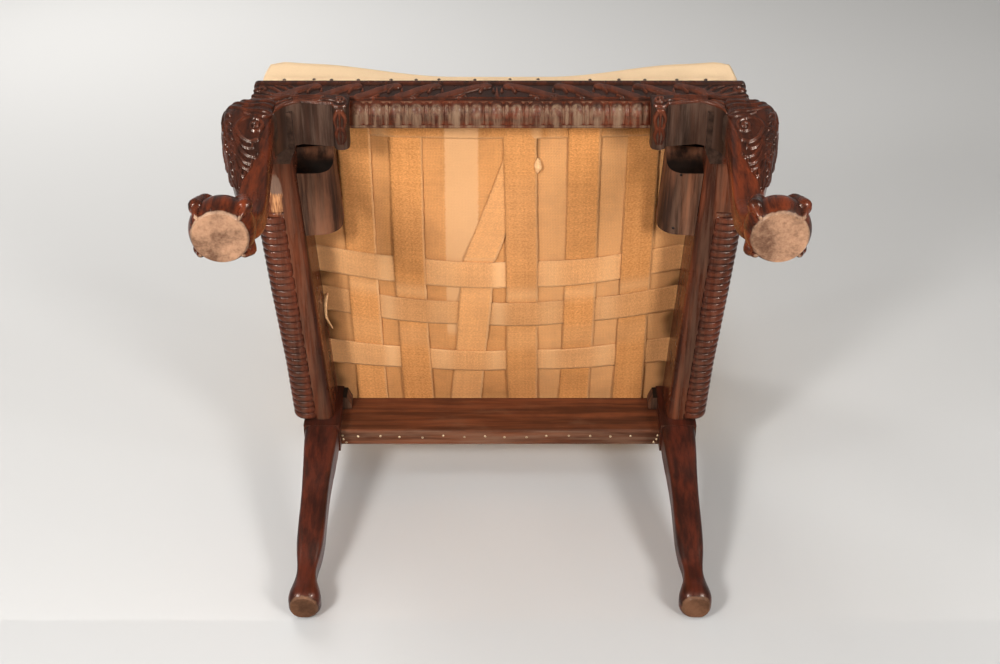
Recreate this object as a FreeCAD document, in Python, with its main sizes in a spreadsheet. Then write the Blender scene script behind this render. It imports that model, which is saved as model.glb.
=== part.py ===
# Library armchair: mahogany frame with carved cabriole front legs, raked rear legs, gadrooned seat rails,
# an interlaced webbing seat, padded seat and back in calico, and open padded arms.
# Millimetres. The front faces -Y, the feet stand on Z = 0, right-hand pieces lie at +X.
import FreeCAD, Part
import math
import os

from FreeCAD import Placement, Rotation, Vector
import Sketcher

os.makedirs("parts", exist_ok=True)
doc = FreeCAD.newDocument("library_armchair")
sheet = doc.addObject("Spreadsheet::Sheet", "dims")

DIMENSIONS = {
    # seat frame
    "front_width": 634,
    "seat_depth": 540,
    "side_splay": 3.7,
    "front_face": 311,
    "rail_bottom": 306,
    "rail_height": 79,
    "front_rail_thick": 30,
    "side_rail_thick": 44,
    "rear_rail_thick": 27,
    "rail_round": 3,
    "side_rail_round": 12,
    "hem_height": 9,
    "hem_inset": 1.5,
    # gadrooned nosing
    "nose_radius": 18,
    "front_nose_proud": 1,
    "side_nose_proud": 9,
    "lobe_height": 4,
    "front_lobe_run": 8,
    "side_lobe_run": 12,
    "lobe_share": 0.62,
    "rib_share": 0.26,
    "rib_height": 2.4,
    "front_lobes": 15,
    "front_lobe_span": 384,
    "side_lobes": 15,
    "side_plain": 81,
    # mortise and tenon joints
    "tenon_thick": 12,
    "tenon_tall": 48,
    "tenon_long": 28,
    "tenon_set": 11,
    "joint_clearance": 0.2,
    # front legs
    "post_width": 54,
    "post_depth": 72,
    "post_drop": 16,
    "post_chamfer_across": 7,
    "post_chamfer_along": 18,
    "foot_out": 312,
    "foot_front": 298,
    "ankle_height": 42,
    "ankle_inset": 9,
    "ankle_half": 21,
    "shank_height": 88,
    "shank_inset": 22,
    "shank_half": 17.5,
    "calf_height": 165,
    "calf_inset": 12,
    "calf_half": 23.5,
    "shin_height": 222,
    "shin_inset": 3,
    "shin_half": 29.5,
    "knee_height": 276,
    "knee_inset": 0,
    "knee_half": 32,
    "brow_height": 312,
    "brow_inset": 12,
    "brow_half": 31,
    "root_height": 342,
    "root_inset": 24,
    "root_half": 24,
    "leg_roundness": 0.62,
    "ball_radius": 38,
    "ball_centre": 22,
    "toe_radius": 7.5,
    "toe_bury": 0.5,
    "toe_sweep": 92,
    "knuckle_radius": 9.2,
    "talon_radius": 4.6,
    "talon_sweep": 112,
    # knee brackets
    "ear_tip": 192,
    "ear_depth": 58,
    "ear_roll": 10,
    "ear_drop": 12,
    "ear_toe_drop": 52,
    "ear_hollow": 46,
    "ear_lip": 18,
    "ear_proud": 9,
    "ear_flat": 60,
    "ear_flat_drop": 5,
    # corner blocks
    "front_block_long": 116,
    "front_block_wide": 48,
    "front_block_tall": 48,
    "front_block_sink": 22,
    "front_block_round": 26,
    "front_block_gap": 8,
    "front_block_cove": 34,
    "rear_block_leg": 20,
    "rear_block_tall": 26,
    # rear legs
    "rear_post_width": 51,
    "rear_post_depth": 46,
    "rear_post_drop": 14,
    "heel_kick": 56,
    "sole_height": 0,
    "sole_kick": 1,
    "sole_half": 16,
    "sole_round": 0.82,
    "pad_height": 13,
    "pad_kick": 1,
    "pad_half": 21.5,
    "pad_round": 0.8,
    "instep_height": 36,
    "instep_kick": 0.97,
    "instep_half": 16.5,
    "instep_round": 0.6,
    "hock_height": 80,
    "hock_kick": 0.84,
    "hock_half": 15.5,
    "hock_round": 0.44,
    "shaft_height": 170,
    "shaft_kick": 0.47,
    "shaft_half": 18.5,
    "shaft_round": 0.36,
    "thigh_height": 250,
    "thigh_kick": 0.15,
    "thigh_half": 22,
    "thigh_round": 0.34,
    "hip_height": 300,
    "hip_kick": 0,
    "hip_half": 23,
    "hip_round": 0.34,
    # back frame
    "back_rake": 10.63,
    "stile_start": 400,
    "stile_long": 578,
    "stile_width": 44,
    "stile_depth": 34,
    "crest_tall": 46,
    "back_rail_rise": 62,
    "back_rail_tall": 50,
    "back_rail_thick": 28,
    # arms
    "arm_height": 664,
    "arm_width": 46,
    "arm_thick": 30,
    "arm_front": 168,
    "arm_reach": 318,
    "arm_roll": 25,
    "arm_pad_long": 300,
    "arm_pad_tall": 34,
    "arm_stub": 10,
    "support_y": -96,
    "support_lean": 56,
    # upholstery
    "cover_thick": 1.2,
    "cover_corner": 446,
    "cover_centre": 404,
    "cover_rear": 421,
    "web_width": 44,
    "web_thick": 2,
    "web_sag": 50,
    "cross_width": 42,
    "loose_gap": 49,
    "loose_end": 35,
    "loose_turn": -29,
    "back_height": 597,
    "back_pad": 66,
}

for row, (alias, number) in enumerate(DIMENSIONS.items(), start=1):
    sheet.set(f"A{row}", alias.replace("_", " "))
    sheet.set(f"B{row}", str(number))
    sheet.setAlias(f"B{row}", alias)
doc.recompute()


class Size:
    """A number together with the sheet expression that gives it."""

    def __init__(self, text, number):
        self.text = text
        self.number = number

    def __add__(self, other):
        other = as_size(other)
        return Size(f"({self.text} + {other.text})", self.number + other.number)

    def __sub__(self, other):
        other = as_size(other)
        return Size(f"({self.text} - {other.text})", self.number - other.number)

    def __mul__(self, other):
        other = as_size(other)
        return Size(f"({self.text} * {other.text})", self.number * other.number)

    def __truediv__(self, other):
        other = as_size(other)
        return Size(f"({self.text} / {other.text})", self.number / other.number)

    def __neg__(self):
        return Size(f"(0 - {self.text})", -self.number)


def as_size(value):
    """Plain numbers take part in sums as they are."""
    if isinstance(value, Size):
        return value
    return Size(f"{value:.6f}" if value >= 0 else f"(0 - {-value:.6f})", value)


def dim(alias):
    """The named cell of the sheet."""
    return Size(f"dims.{alias}", float(sheet.get(alias)))


def degrees_of(function, angle):
    """Sine, cosine or tangent of an angle that the sheet holds in degrees."""
    return Size(f"{function.__name__}({angle.text} * 1deg)", function(math.radians(angle.number)))


def bind(obj, **sizes):
    """Tie properties of an object to the sheet."""
    for name, size in sizes.items():
        obj.setExpression(name, as_size(size).text)


def place(obj, x=0, y=0, z=0, turn=None):
    """Put an object at a place that follows the sheet."""
    x, y, z = as_size(x), as_size(y), as_size(z)
    obj.Placement = Placement(Vector(x.number, y.number, z.number), turn or Rotation())
    for axis, size in zip("xyz", (x, y, z)):
        obj.setExpression(f".Placement.Base.{axis}", size.text)
    return obj


# Sketches: every corner is fixed by its own two distances and every arc by its radius
def draw_outline(sketch, corners, arcs=None):
    """Closed outline; arcs maps a side's number to its radius, negative where it hollows inwards."""
    arcs = arcs or {}
    corners = [(as_size(u), as_size(v)) for u, v in corners]
    spots = [Vector(u.number, v.number, 0) for u, v in corners]
    sides = []
    for index, start in enumerate(spots):
        finish = spots[(index + 1) % len(spots)]
        if index not in arcs:
            sides.append((sketch.addGeometry(Part.LineSegment(start, finish)), 1, 2))
            continue
        radius = as_size(arcs[index]).number
        chord = finish - start
        rise = math.sqrt(max(radius**2 - (chord.Length / 2) ** 2, 0))
        left = Vector(-chord.y, chord.x, 0).normalize()
        centre = (start + finish) / 2 + left * math.copysign(rise, radius)
        first, last = (start, finish) if radius > 0 else (finish, start)
        begin = math.atan2(first.y - centre.y, first.x - centre.x)
        end = math.atan2(last.y - centre.y, last.x - centre.x)
        circle = Part.Circle(centre, Vector(0, 0, 1), abs(radius))
        arc = Part.ArcOfCircle(circle, begin, end if end > begin else end + 2 * math.pi)
        sides.append((sketch.addGeometry(arc), 1, 2) if radius > 0 else (sketch.addGeometry(arc), 2, 1))
    for index, (side, head, tail) in enumerate(sides):
        after, after_head, _ = sides[(index + 1) % len(sides)]
        sketch.addConstraint(Sketcher.Constraint("Coincident", side, tail, after, after_head))
        for kind, size in zip(("DistanceX", "DistanceY"), corners[index]):
            rule = sketch.addConstraint(Sketcher.Constraint(kind, -1, 1, side, head, size.number))
            sketch.setExpression(f"Constraints[{rule}]", size.text)
        if index in arcs:
            radius = as_size(arcs[index])
            size = radius if radius.number > 0 else -radius
            rule = sketch.addConstraint(Sketcher.Constraint("Radius", side, size.number))
            sketch.setExpression(f"Constraints[{rule}]", size.text)
    return sketch


def free_sketch(name, corners, arcs=None, x=0, y=0, z=0, turn=None):
    """A sketch that stands on its own in the document."""
    sketch = doc.addObject("Sketcher::SketchObject", name)
    draw_outline(sketch, corners, arcs)
    return place(sketch, x, y, z, turn)


def rounded(half_u, half_v, radius, u=0, v=0):
    """Corners and arcs of a rectangle with round corners about the point (u, v)."""
    half_u, half_v, radius, u, v = (as_size(s) for s in (half_u, half_v, radius, u, v))
    left, right, low, high = u - half_u, u + half_u, v - half_v, v + half_v
    corners = [
        (left + radius, low),
        (right - radius, low),
        (right, low + radius),
        (right, high - radius),
        (right - radius, high),
        (left + radius, high),
        (left, high - radius),
        (left, low + radius),
    ]
    return corners, {side: radius for side in (1, 3, 5, 7)}


def origin_plane(body, role):
    """One of the body's own planes."""
    return next(plane for plane in body.Origin.OriginFeatures if plane.Role == role)


def body_sketch(body, role, name, corners, arcs=None, offset=0):
    """A sketch on one of the body's own planes, moved along the plane's normal."""
    sketch = body.newObject("Sketcher::SketchObject", name)
    sketch.AttachmentSupport = [(origin_plane(body, role), "")]
    sketch.MapMode = "FlatFace"
    sketch.setExpression(".AttachmentOffset.Base.z", as_size(offset).text)
    draw_outline(sketch, corners, arcs)
    doc.recompute()
    return sketch


def pad(body, sketch, length, reverse=False):
    """Thicken a sketch along its normal."""
    feature = body.newObject("PartDesign::Pad", f"{sketch.Name}_pad")
    feature.Profile = sketch
    feature.Reversed = reverse
    bind(feature, Length=length)
    doc.recompute()
    return feature


# Part objects that follow the sheet
def box(name, length, width, height, x=0, y=0, z=0, turn=None):
    solid = doc.addObject("Part::Box", name)
    bind(solid, Length=length, Width=width, Height=height)
    return place(solid, x, y, z, turn)


def extrude(name, sketch, length):
    solid = doc.addObject("Part::Extrusion", name)
    solid.Base = sketch
    solid.DirMode = "Normal"
    solid.Solid = True
    bind(solid, LengthFwd=length)
    return solid


def loft(name, sections, ruled=False):
    solid = doc.addObject("Part::Loft", name)
    solid.Sections = sections
    solid.Solid = True
    solid.Ruled = ruled
    return solid


def fuse(name, shapes):
    solid = doc.addObject("Part::MultiFuse", name)
    solid.Shapes = shapes
    solid.Refine = True
    return solid


def cut(name, base, tools):
    for number, tool in enumerate(tools):
        step = doc.addObject("Part::Cut", name if number == len(tools) - 1 else f"{name}_step")
        step.Base = base
        step.Tool = tool
        base = step
    return base


def common(name, base, tool):
    solid = doc.addObject("Part::Common", name)
    solid.Base = base
    solid.Tool = tool
    return solid


def shaped(name, shape):
    """A piece whose form only a formula gives."""
    solid = doc.addObject("Part::Feature", name)
    solid.Shape = shape
    return solid


NODES = {}


def node(label, obj):
    """Name a finished piece."""
    obj.Label = label
    NODES[label] = obj
    return obj


def mirrored_pair(name, right):
    """The right-hand piece and its mirror image on the left."""
    node(f"right_{name}", right)
    left = doc.addObject("Part::Mirroring", f"left_{name}")
    left.Source = right
    left.Normal = Vector(1, 0, 0)
    return right, node(f"left_{name}", left)


# Lines that several pieces share
rail_bottom = dim("rail_bottom")
rail_height = dim("rail_height")
rail_top = rail_bottom + rail_height
front_face = -dim("front_face")
rear_face = front_face + dim("seat_depth")
half_front = dim("front_width") / 2
splay = dim("side_splay")
slope = degrees_of(math.tan, splay)
half_rear = half_front - dim("seat_depth") * slope
clearance = dim("joint_clearance")
post_inner = half_front - dim("post_width")
post_back = front_face + dim("post_depth")
rear_post_front = rear_face - dim("rear_post_depth")
rear_post_inner = half_rear - dim("rear_post_width")
UPRIGHT = Rotation(Vector(1, 0, 0), 90)
side_turn = Rotation(Vector(0, 0, 1), 90 + splay.number)


def side_line(y):
    """Distance of the frame's outer side line from the middle."""
    return half_front - (as_size(y) - front_face) * slope


# Seat rails with gadrooned nosing
def rail_section(thick, inner_round, proud, run, nosed):
    """Rail section with its outer face at 0, plain or with the bed of the gadroons."""
    top = [
        (thick, rail_height),
        (dim("hem_inset"), rail_height),
        (dim("hem_inset"), rail_height - dim("hem_height")),
        (0, rail_height - dim("hem_height")),
    ]
    foot = [(thick - inner_round, 0), (thick, inner_round)]
    if not nosed:
        return [(0, 0)] + foot + top, {1: inner_round}
    centre = dim("nose_radius") - proud
    bed = dim("nose_radius") - dim("lobe_height")
    nose = [
        (0, dim("nose_radius")),
        (centre - bed, dim("nose_radius")),
        (centre, dim("lobe_height")),
        (centre + run, dim("lobe_height")),
        (centre + run, 0),
    ]
    return nose + foot + top, {1: bed, 5: inner_round}


def lobe_profile(middle, width, height):
    """Round-backed profile of one gadroon, sunk a little into its bed."""
    bed = dim("lobe_height")
    radius = (width * width / 4 + height * height) / (height * 2)
    left, right = middle - width / 2, middle + width / 2
    corners = [(right, bed), (right, bed + 1), (left, bed + 1), (left, bed)]
    return corners, {3: radius}


def gadrooned_rail(name, start, finish, thick, inner_round, proud, run, span_start, span, lobes):
    """Rail along its own X axis with alternating lobes and ribs round its lower outer edge."""
    body = doc.addObject("PartDesign::Body", name)
    for key, low, high, nosed in (
        ("front_end", start, span_start, False),
        ("middle", span_start, span_start + span, True),
        ("rear_end", span_start + span, finish, False),
    ):
        if high.number - low.number < 0.01:
            continue
        corners, arcs = rail_section(thick, inner_round, proud, run, nosed)
        section = body_sketch(body, "YZ_Plane", f"{name}_{key}", corners, arcs, low)
        pad(body, section, high - low)
    pitch = span / lobes
    centre = dim("nose_radius") - proud
    originals = []
    for key, middle, share, height in (
        ("lobe", span_start + pitch * 0.34, dim("lobe_share"), dim("lobe_height")),
        ("rib", span_start + pitch * 0.84, dim("rib_share"), dim("rib_height")),
    ):
        corners, arcs = lobe_profile(middle, pitch * share, height)
        flat = body_sketch(body, "XZ_Plane", f"{name}_{key}", corners, arcs, -centre)
        originals.append(pad(body, flat, run, reverse=True))
        turn = body_sketch(body, "XZ_Plane", f"{name}_{key}_turn", corners, arcs, -centre)
        axis_height = dim("nose_radius")
        line = Part.LineSegment(Vector(0, axis_height.number, 0), Vector(50, axis_height.number, 0))
        axis = turn.addGeometry(line, True)
        turn.addConstraint(Sketcher.Constraint("Horizontal", axis))
        rule = turn.addConstraint(Sketcher.Constraint("DistanceY", -1, 1, axis, 1, axis_height.number))
        turn.setExpression(f"Constraints[{rule}]", axis_height.text)
        doc.recompute()
        bend = body.newObject("PartDesign::Revolution", f"{name}_{key}_bend")
        bend.Profile = turn
        bend.ReferenceAxis = (turn, ["Axis0"])
        bend.Angle = 90
        bend.Reversed = True
        doc.recompute()
        if bend.Shape.BoundBox.YMin > centre.number / 2:
            bend.Reversed = False
            doc.recompute()
        originals.append(bend)
    pattern = body.newObject("PartDesign::LinearPattern", f"{name}_gadroons")
    pattern.Originals = originals
    pattern.Direction = (originals[0].Profile[0], ["H_Axis"])
    bind(pattern, Length=pitch * (lobes - 1), Occurrences=lobes)
    body.Tip = pattern
    doc.recompute()
    return body


tenon_low = (rail_height - dim("hem_height") - dim("tenon_tall")) / 2 + 4
half_span = dim("front_lobe_span") / 2
front_rail = gadrooned_rail(
    "front_rail_board",
    -post_inner,
    post_inner,
    dim("front_rail_thick"),
    dim("rail_round"),
    dim("front_nose_proud"),
    dim("front_lobe_run"),
    -half_span,
    dim("front_lobe_span"),
    dim("front_lobes"),
)
place(front_rail, 0, front_face, rail_bottom)


def front_tenon(name, slack):
    """Bar that makes the front rail's two tenons, or with slack the two mortises."""
    reach = (post_inner + dim("tenon_long") + slack) * 2
    return box(
        name,
        reach,
        dim("tenon_thick") + slack * 2,
        dim("tenon_tall") + slack * 2,
        -(reach / 2),
        front_face + dim("tenon_set") - slack,
        rail_bottom + tenon_low - slack,
    )


node("front_rail", fuse("front_rail", [front_rail, front_tenon("front_tenons", as_size(0))]))

# Side rails stand between the front posts and the rear legs and follow the splay of the seat
side_run = (rear_post_front - post_back) / degrees_of(math.cos, splay)
trim = dim("side_rail_thick") * slope + 1
side_board = gadrooned_rail(
    "side_rail_board",
    -trim,
    side_run + trim,
    dim("side_rail_thick"),
    dim("side_rail_round"),
    dim("side_nose_proud"),
    dim("side_lobe_run"),
    dim("side_plain"),
    side_run + trim - dim("side_plain"),
    dim("side_lobes"),
)
place(side_board, side_line(post_back), post_back, rail_bottom, side_turn)
side_slab = box(
    "side_rail_slab", 200, rear_post_front - post_back, 200, half_rear - 100, post_back, rail_bottom - 50
)


def side_tenon(name, slack):
    """Bar that makes a side rail's two tenons, or with slack their mortises."""
    reach = side_run + (dim("tenon_long") + slack) * 2
    ahead = dim("tenon_long") + slack
    inward = dim("tenon_set") + 6 - slack
    cosine, sine = degrees_of(math.cos, splay), degrees_of(math.sin, splay)
    return box(
        name,
        reach,
        dim("tenon_thick") + slack * 2,
        dim("tenon_tall") + slack * 2,
        side_line(post_back) + ahead * sine - inward * cosine,
        post_back - ahead * cosine - inward * sine,
        rail_bottom + tenon_low - slack,
        side_turn,
    )


side_trimmed = common("side_rail_trimmed", side_board, side_slab)
right_side_rail, _ = mirrored_pair(
    "side_rail", fuse("right_side_rail", [side_trimmed, side_tenon("side_tenons", as_size(0))])
)

# Rear rail
rear_body = doc.addObject("PartDesign::Body", "rear_rail_board")
rear_thick = dim("rear_rail_thick")
rear_round = dim("rail_round")
rear_corners = [
    (rear_round, 0),
    (rear_thick - rear_round, 0),
    (rear_thick, rear_round),
    (rear_thick, rail_height - dim("hem_height")),
    (rear_thick - dim("hem_inset"), rail_height - dim("hem_height")),
    (rear_thick - dim("hem_inset"), rail_height),
    (0, rail_height),
    (0, rear_round),
]
rear_section = body_sketch(
    rear_body, "YZ_Plane", "rear_rail_section", rear_corners, {1: rear_round, 7: rear_round}, -rear_post_inner
)
pad(rear_body, rear_section, rear_post_inner * 2)
place(rear_body, 0, rear_face - rear_thick, rail_bottom)


def rear_tenon(name, slack):
    """Bar that makes the rear rail's two tenons, or with slack their mortises."""
    reach = (rear_post_inner + dim("tenon_long") - 10 + slack) * 2
    return box(
        name,
        reach,
        dim("tenon_thick") + slack * 2,
        dim("tenon_tall") + slack * 2,
        -(reach / 2),
        rear_face - rear_thick / 2 - dim("tenon_thick") / 2 - slack,
        rail_bottom + tenon_low - slack,
    )


node("rear_rail", fuse("rear_rail", [rear_body, rear_tenon("rear_tenons", as_size(0))]))

# Front cabriole leg with claw-and-ball foot
foot_x = dim("foot_out")
foot_y = -dim("foot_front")
leg_sections = []
for station in ("ankle", "shank", "calf", "shin", "knee", "brow", "root"):
    half = dim(f"{station}_half")
    inset = dim(f"{station}_inset")
    corners, arcs = rounded(half, half, half * dim("leg_roundness"))
    section = free_sketch(
        f"leg_{station}", corners, arcs, foot_x - inset, foot_y + inset, dim(f"{station}_height")
    )
    leg_sections.append(section)
cabriole = loft("cabriole", leg_sections)

chamfer_across = dim("post_chamfer_across")
chamfer_along = dim("post_chamfer_along")


def post_block(name, inset, low, high):
    """Corner post; inset draws its two outer faces in behind the hem of the seat cover."""
    corners = [
        (post_inner, front_face + inset),
        (side_line(front_face) - inset, front_face + inset),
        (side_line(post_back) - inset, post_back),
        (post_inner + chamfer_across, post_back),
        (post_inner, post_back - chamfer_along),
    ]
    return extrude(name, free_sketch(f"{name}_plan", corners, z=low), high - low)


post = post_block("front_post", as_size(0), rail_bottom - dim("post_drop"), rail_top - dim("hem_height"))
post_head = post_block("front_post_head", dim("hem_inset"), rail_top - dim("hem_height"), rail_top)

ball = doc.addObject("Part::Sphere", "ball")
lean = Size(
    "(asin(dims.ball_centre / dims.ball_radius) / 1deg)",
    math.degrees(math.asin(dim("ball_centre").number / dim("ball_radius").number)),
)
bind(ball, Radius=dim("ball_radius"), Angle1=-lean)
place(ball, foot_x, foot_y, dim("ball_centre"))

toe_path = dim("ball_radius") - dim("toe_bury")
claws = []
for quarter in range(4):
    heading = math.radians(45 + 90 * quarter)
    outward = Vector(math.cos(heading), math.sin(heading), 0)
    turn = Rotation(Vector(0, 0, 1), outward, Vector(0, 0, 1).cross(outward), "XYZ")
    for key, radius, sweep in (("toe", "toe_radius", "toe_sweep"), ("talon", "talon_radius", "talon_sweep")):
        bar = doc.addObject("Part::Torus", f"{key}_{quarter}")
        bind(bar, Radius1=toe_path, Radius2=dim(radius), Angle3=dim(sweep))
        claws.append(place(bar, foot_x, foot_y, dim("ball_centre"), turn))
    for joint, share in (("upper", 0.52), ("lower", 0.96)):
        angle = math.radians(dim("toe_sweep").number * share)
        knuckle = doc.addObject("Part::Sphere", f"knuckle_{joint}_{quarter}")
        bind(knuckle, Radius=dim("knuckle_radius"))
        reach = toe_path * math.sin(angle)
        claws.append(
            place(
                knuckle,
                foot_x + reach * outward.x,
                foot_y + reach * outward.y,
                dim("ball_centre") + toe_path * math.cos(angle),
            )
        )
leg_solid = fuse("front_leg_solid", [cabriole, post, post_head, ball] + claws)
right_front_leg, _ = mirrored_pair(
    "front_leg",
    cut(
        "right_front_leg",
        leg_solid,
        [front_tenon("front_mortises", clearance), side_tenon("front_side_mortise", clearance)],
    ),
)

# Knee brackets under the ends of the front rail, each ending in a roll
ear_tip = dim("ear_tip")
ear_roll = dim("ear_roll")
ear_right = foot_x - 28
ear_corners = [
    (ear_tip, rail_bottom - dim("ear_drop")),
    (ear_tip + ear_roll, rail_bottom - dim("ear_drop") - ear_roll),
    (ear_tip + ear_roll * 2, rail_bottom - dim("ear_drop")),
    (ear_tip + dim("ear_flat"), rail_bottom - dim("ear_flat_drop")),
    (ear_right, rail_bottom - dim("ear_toe_drop")),
    (ear_right, rail_bottom),
    (ear_tip, rail_bottom),
]
ear_back = front_face - dim("ear_proud") + dim("ear_depth")
ear_plan = free_sketch(
    "ear_profile", ear_corners, {0: ear_roll, 1: ear_roll, 3: -dim("ear_hollow")}, y=ear_back, turn=UPRIGHT
)
ear_block = extrude("ear_block", ear_plan, dim("ear_depth"))
ear_lip = box(
    "ear_lip",
    post_inner - ear_tip,
    dim("ear_proud"),
    dim("ear_lip") + 0.01,
    ear_tip,
    front_face - dim("ear_proud"),
    rail_bottom - 0.01,
)
mirrored_pair("knee_bracket", cut("right_knee_bracket", fuse("ear_solid", [ear_block, ear_lip]), [leg_solid]))

# Glue blocks in the corners of the seat frame
block_start = dim("front_block_gap")
block_tall = dim("front_block_tall")
block_wide = dim("front_block_wide")
block_round = dim("front_block_round")
block_body = doc.addObject("PartDesign::Body", "front_block_body")
block_corners = [
    (0, 0),
    (block_wide - block_round, 0),
    (block_wide, block_round),
    (block_wide, block_tall),
    (0, block_tall),
]
block_section = body_sketch(block_body, "YZ_Plane", "front_block_section", block_corners, {1: block_round})
pad(block_body, block_section, dim("front_block_long"))
cove = doc.addObject("Part::Cylinder", "front_block_cove")
bind(cove, Radius=dim("front_block_cove"), Height=block_wide * 2)
inner_x = side_line(post_back) - dim("side_rail_thick") * degrees_of(math.cos, splay)
inner_y = post_back - dim("side_rail_thick") * degrees_of(math.sin, splay)
block_x = inner_x - block_start * degrees_of(math.sin, splay)
block_y = inner_y + block_start * degrees_of(math.cos, splay)
block_z = rail_top - dim("front_block_sink") - block_tall
place(block_body, block_x, block_y, block_z, side_turn)
place(
    cove,
    block_x + 20,
    block_y - 12,
    block_z,
    Rotation(Vector(0, 1, 0), -90),
)
post_room = box("post_room", 400, dim("post_depth") + clearance, 400, 0, front_face, 0)
mirrored_pair("front_corner_block", cut("right_front_corner_block", block_body, [cove, post_room]))

rear_leg_side = dim("rear_block_leg")
rear_block_corners = [
    (rear_post_inner, rear_face - rear_thick),
    (rear_post_inner - rear_leg_side * 0.6, rear_face - rear_thick),
    (rear_post_inner - rear_leg_side * 0.6, rear_face - rear_thick - 6),
    (rear_post_inner - 6, rear_face - rear_thick - rear_leg_side),
    (rear_post_inner, rear_face - rear_thick - rear_leg_side),
]
rear_block_plan = free_sketch("rear_block_plan", rear_block_corners, z=rail_top - dim("rear_block_tall") - 1)
rear_block = extrude("right_rear_corner_block", rear_block_plan, dim("rear_block_tall"))
mirrored_pair("rear_corner_block", rear_block)

# Rear leg, raked below the seat and carried up as the stile of the back
rear_centre_x = half_rear - dim("rear_post_width") / 2
rear_centre_y = rear_face - dim("rear_post_depth") / 2
rear_sections = []
for station in ("sole", "pad", "instep", "hock", "shaft", "thigh", "hip"):
    half = dim(f"{station}_half")
    corners, arcs = rounded(half, half, half * dim(f"{station}_round"))
    section = free_sketch(
        f"rear_{station}",
        corners,
        arcs,
        rear_centre_x + (dim("hip_half") - half) * 0.15,
        rear_centre_y + dim("heel_kick") * dim(f"{station}_kick"),
        dim(f"{station}_height"),
    )
    rear_sections.append(section)
rear_shaft = loft("rear_shaft", rear_sections)
rear_post = box(
    "rear_post",
    dim("rear_post_width"),
    dim("rear_post_depth"),
    dim("stile_start") - rail_bottom + dim("rear_post_drop"),
    rear_post_inner,
    rear_post_front,
    rail_bottom - dim("rear_post_drop"),
)
back_turn = Rotation(Vector(1, 0, 0), -dim("back_rake").number)
rake_sine = degrees_of(math.sin, dim("back_rake"))
rake_cosine = degrees_of(math.cos, dim("back_rake"))


def on_back(x, y, z):
    """Point of the raked back, given across, behind and up it."""
    y, z = as_size(y), as_size(z)
    return (
        as_size(x),
        rear_face + y * rake_cosine + z * rake_sine,
        dim("stile_start") - y * rake_sine + z * rake_cosine,
    )


stile = box(
    "stile",
    dim("stile_width"),
    dim("stile_depth"),
    dim("stile_long") + 12,
    *on_back(half_rear - dim("stile_width"), -dim("stile_depth"), -12),
    back_turn,
)
rear_solid = fuse("rear_leg_solid", [rear_shaft, rear_post, stile])


def back_rail(name, rise, tall, slack):
    """Cross rail of the back with stub tenons, or with slack its mortises."""
    inner = half_rear - dim("stile_width")
    board = box(
        f"{name}_board",
        inner * 2,
        dim("back_rail_thick"),
        tall,
        *on_back(-inner, -dim("stile_depth") + 3, rise),
        back_turn,
    )
    reach = (inner + 20 + slack) * 2
    tongue = box(
        f"{name}_tongue",
        reach,
        dim("tenon_thick") + slack * 2,
        tall - 14 + slack * 2,
        *on_back(-(reach / 2), -dim("stile_depth") / 2 - dim("tenon_thick") / 2 - slack, rise + 7 - slack),
        back_turn,
    )
    return board, tongue


crest_rise = dim("stile_long") - dim("crest_tall")
crest = back_rail("crest_rail", crest_rise, dim("crest_tall"), as_size(0))
lower = back_rail("back_lower_rail", dim("back_rail_rise"), dim("back_rail_tall"), as_size(0))
node("crest_rail", fuse("crest_rail", list(crest)))
node("back_lower_rail", fuse("back_lower_rail", list(lower)))
crest_room = back_rail("crest_room", crest_rise, dim("crest_tall"), clearance)[1]
lower_room = back_rail("back_lower_room", dim("back_rail_rise"), dim("back_rail_tall"), clearance)[1]

# Open arm: flat bar with a roll at the front, stub tenon at the stile, and a curved support below
arm_z = dim("arm_height")
arm_half = dim("arm_width") / 2
arm_low = dim("arm_thick") / 2
arm_rear_x = half_rear + 2.4 + 14
stile_y = on_back(0, -dim("stile_depth") / 2, (arm_z - dim("stile_start")) / rake_cosine)[1]
arm_front = -dim("arm_front")
arm_sections = []
for key, y, x, half_u, half_v, rise in (
    ("heel", stile_y + 15, arm_rear_x, as_size(14), as_size(20), 2),
    ("rear", stile_y - 45, arm_rear_x + 3, as_size(16), as_size(19), 2),
    ("waist", stile_y * 0.4, dim("arm_reach") - 9, arm_half - 3, arm_low, 0),
    ("middle", as_size(-40), dim("arm_reach") - 2, arm_half, arm_low, -3),
    ("fore", arm_front + 60, dim("arm_reach"), arm_half + 1, arm_low, -4),
    ("tip", arm_front, dim("arm_reach"), arm_half + 3, arm_low - 2, -1),
):
    corners, arcs = rounded(half_u, half_v, as_size(8), x, arm_z + rise)
    arm_sections.append(free_sketch(f"arm_{key}", corners, arcs, y=y, turn=UPRIGHT))
arm_bar = loft("arm_bar", arm_sections)
roll = doc.addObject("Part::Cylinder", "arm_roll")
bind(roll, Radius=dim("arm_roll"), Height=(arm_half + 4) * 2)
place(
    roll,
    dim("arm_reach") - arm_half - 4,
    arm_front,
    arm_z + arm_low - dim("arm_roll") - 3,
    Rotation(Vector(0, 1, 0), 90),
)


def arm_stub(name, slack):
    """Stub tenon between an arm and its stile, or with slack its mortise."""
    return box(
        name,
        dim("arm_stub") + 6 + slack,
        dim("tenon_thick") + slack * 2,
        as_size(22) + slack * 2,
        half_rear - dim("arm_stub") - slack,
        stile_y - dim("tenon_thick") / 2 - slack,
        arm_z - 9 - slack,
    )


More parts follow.
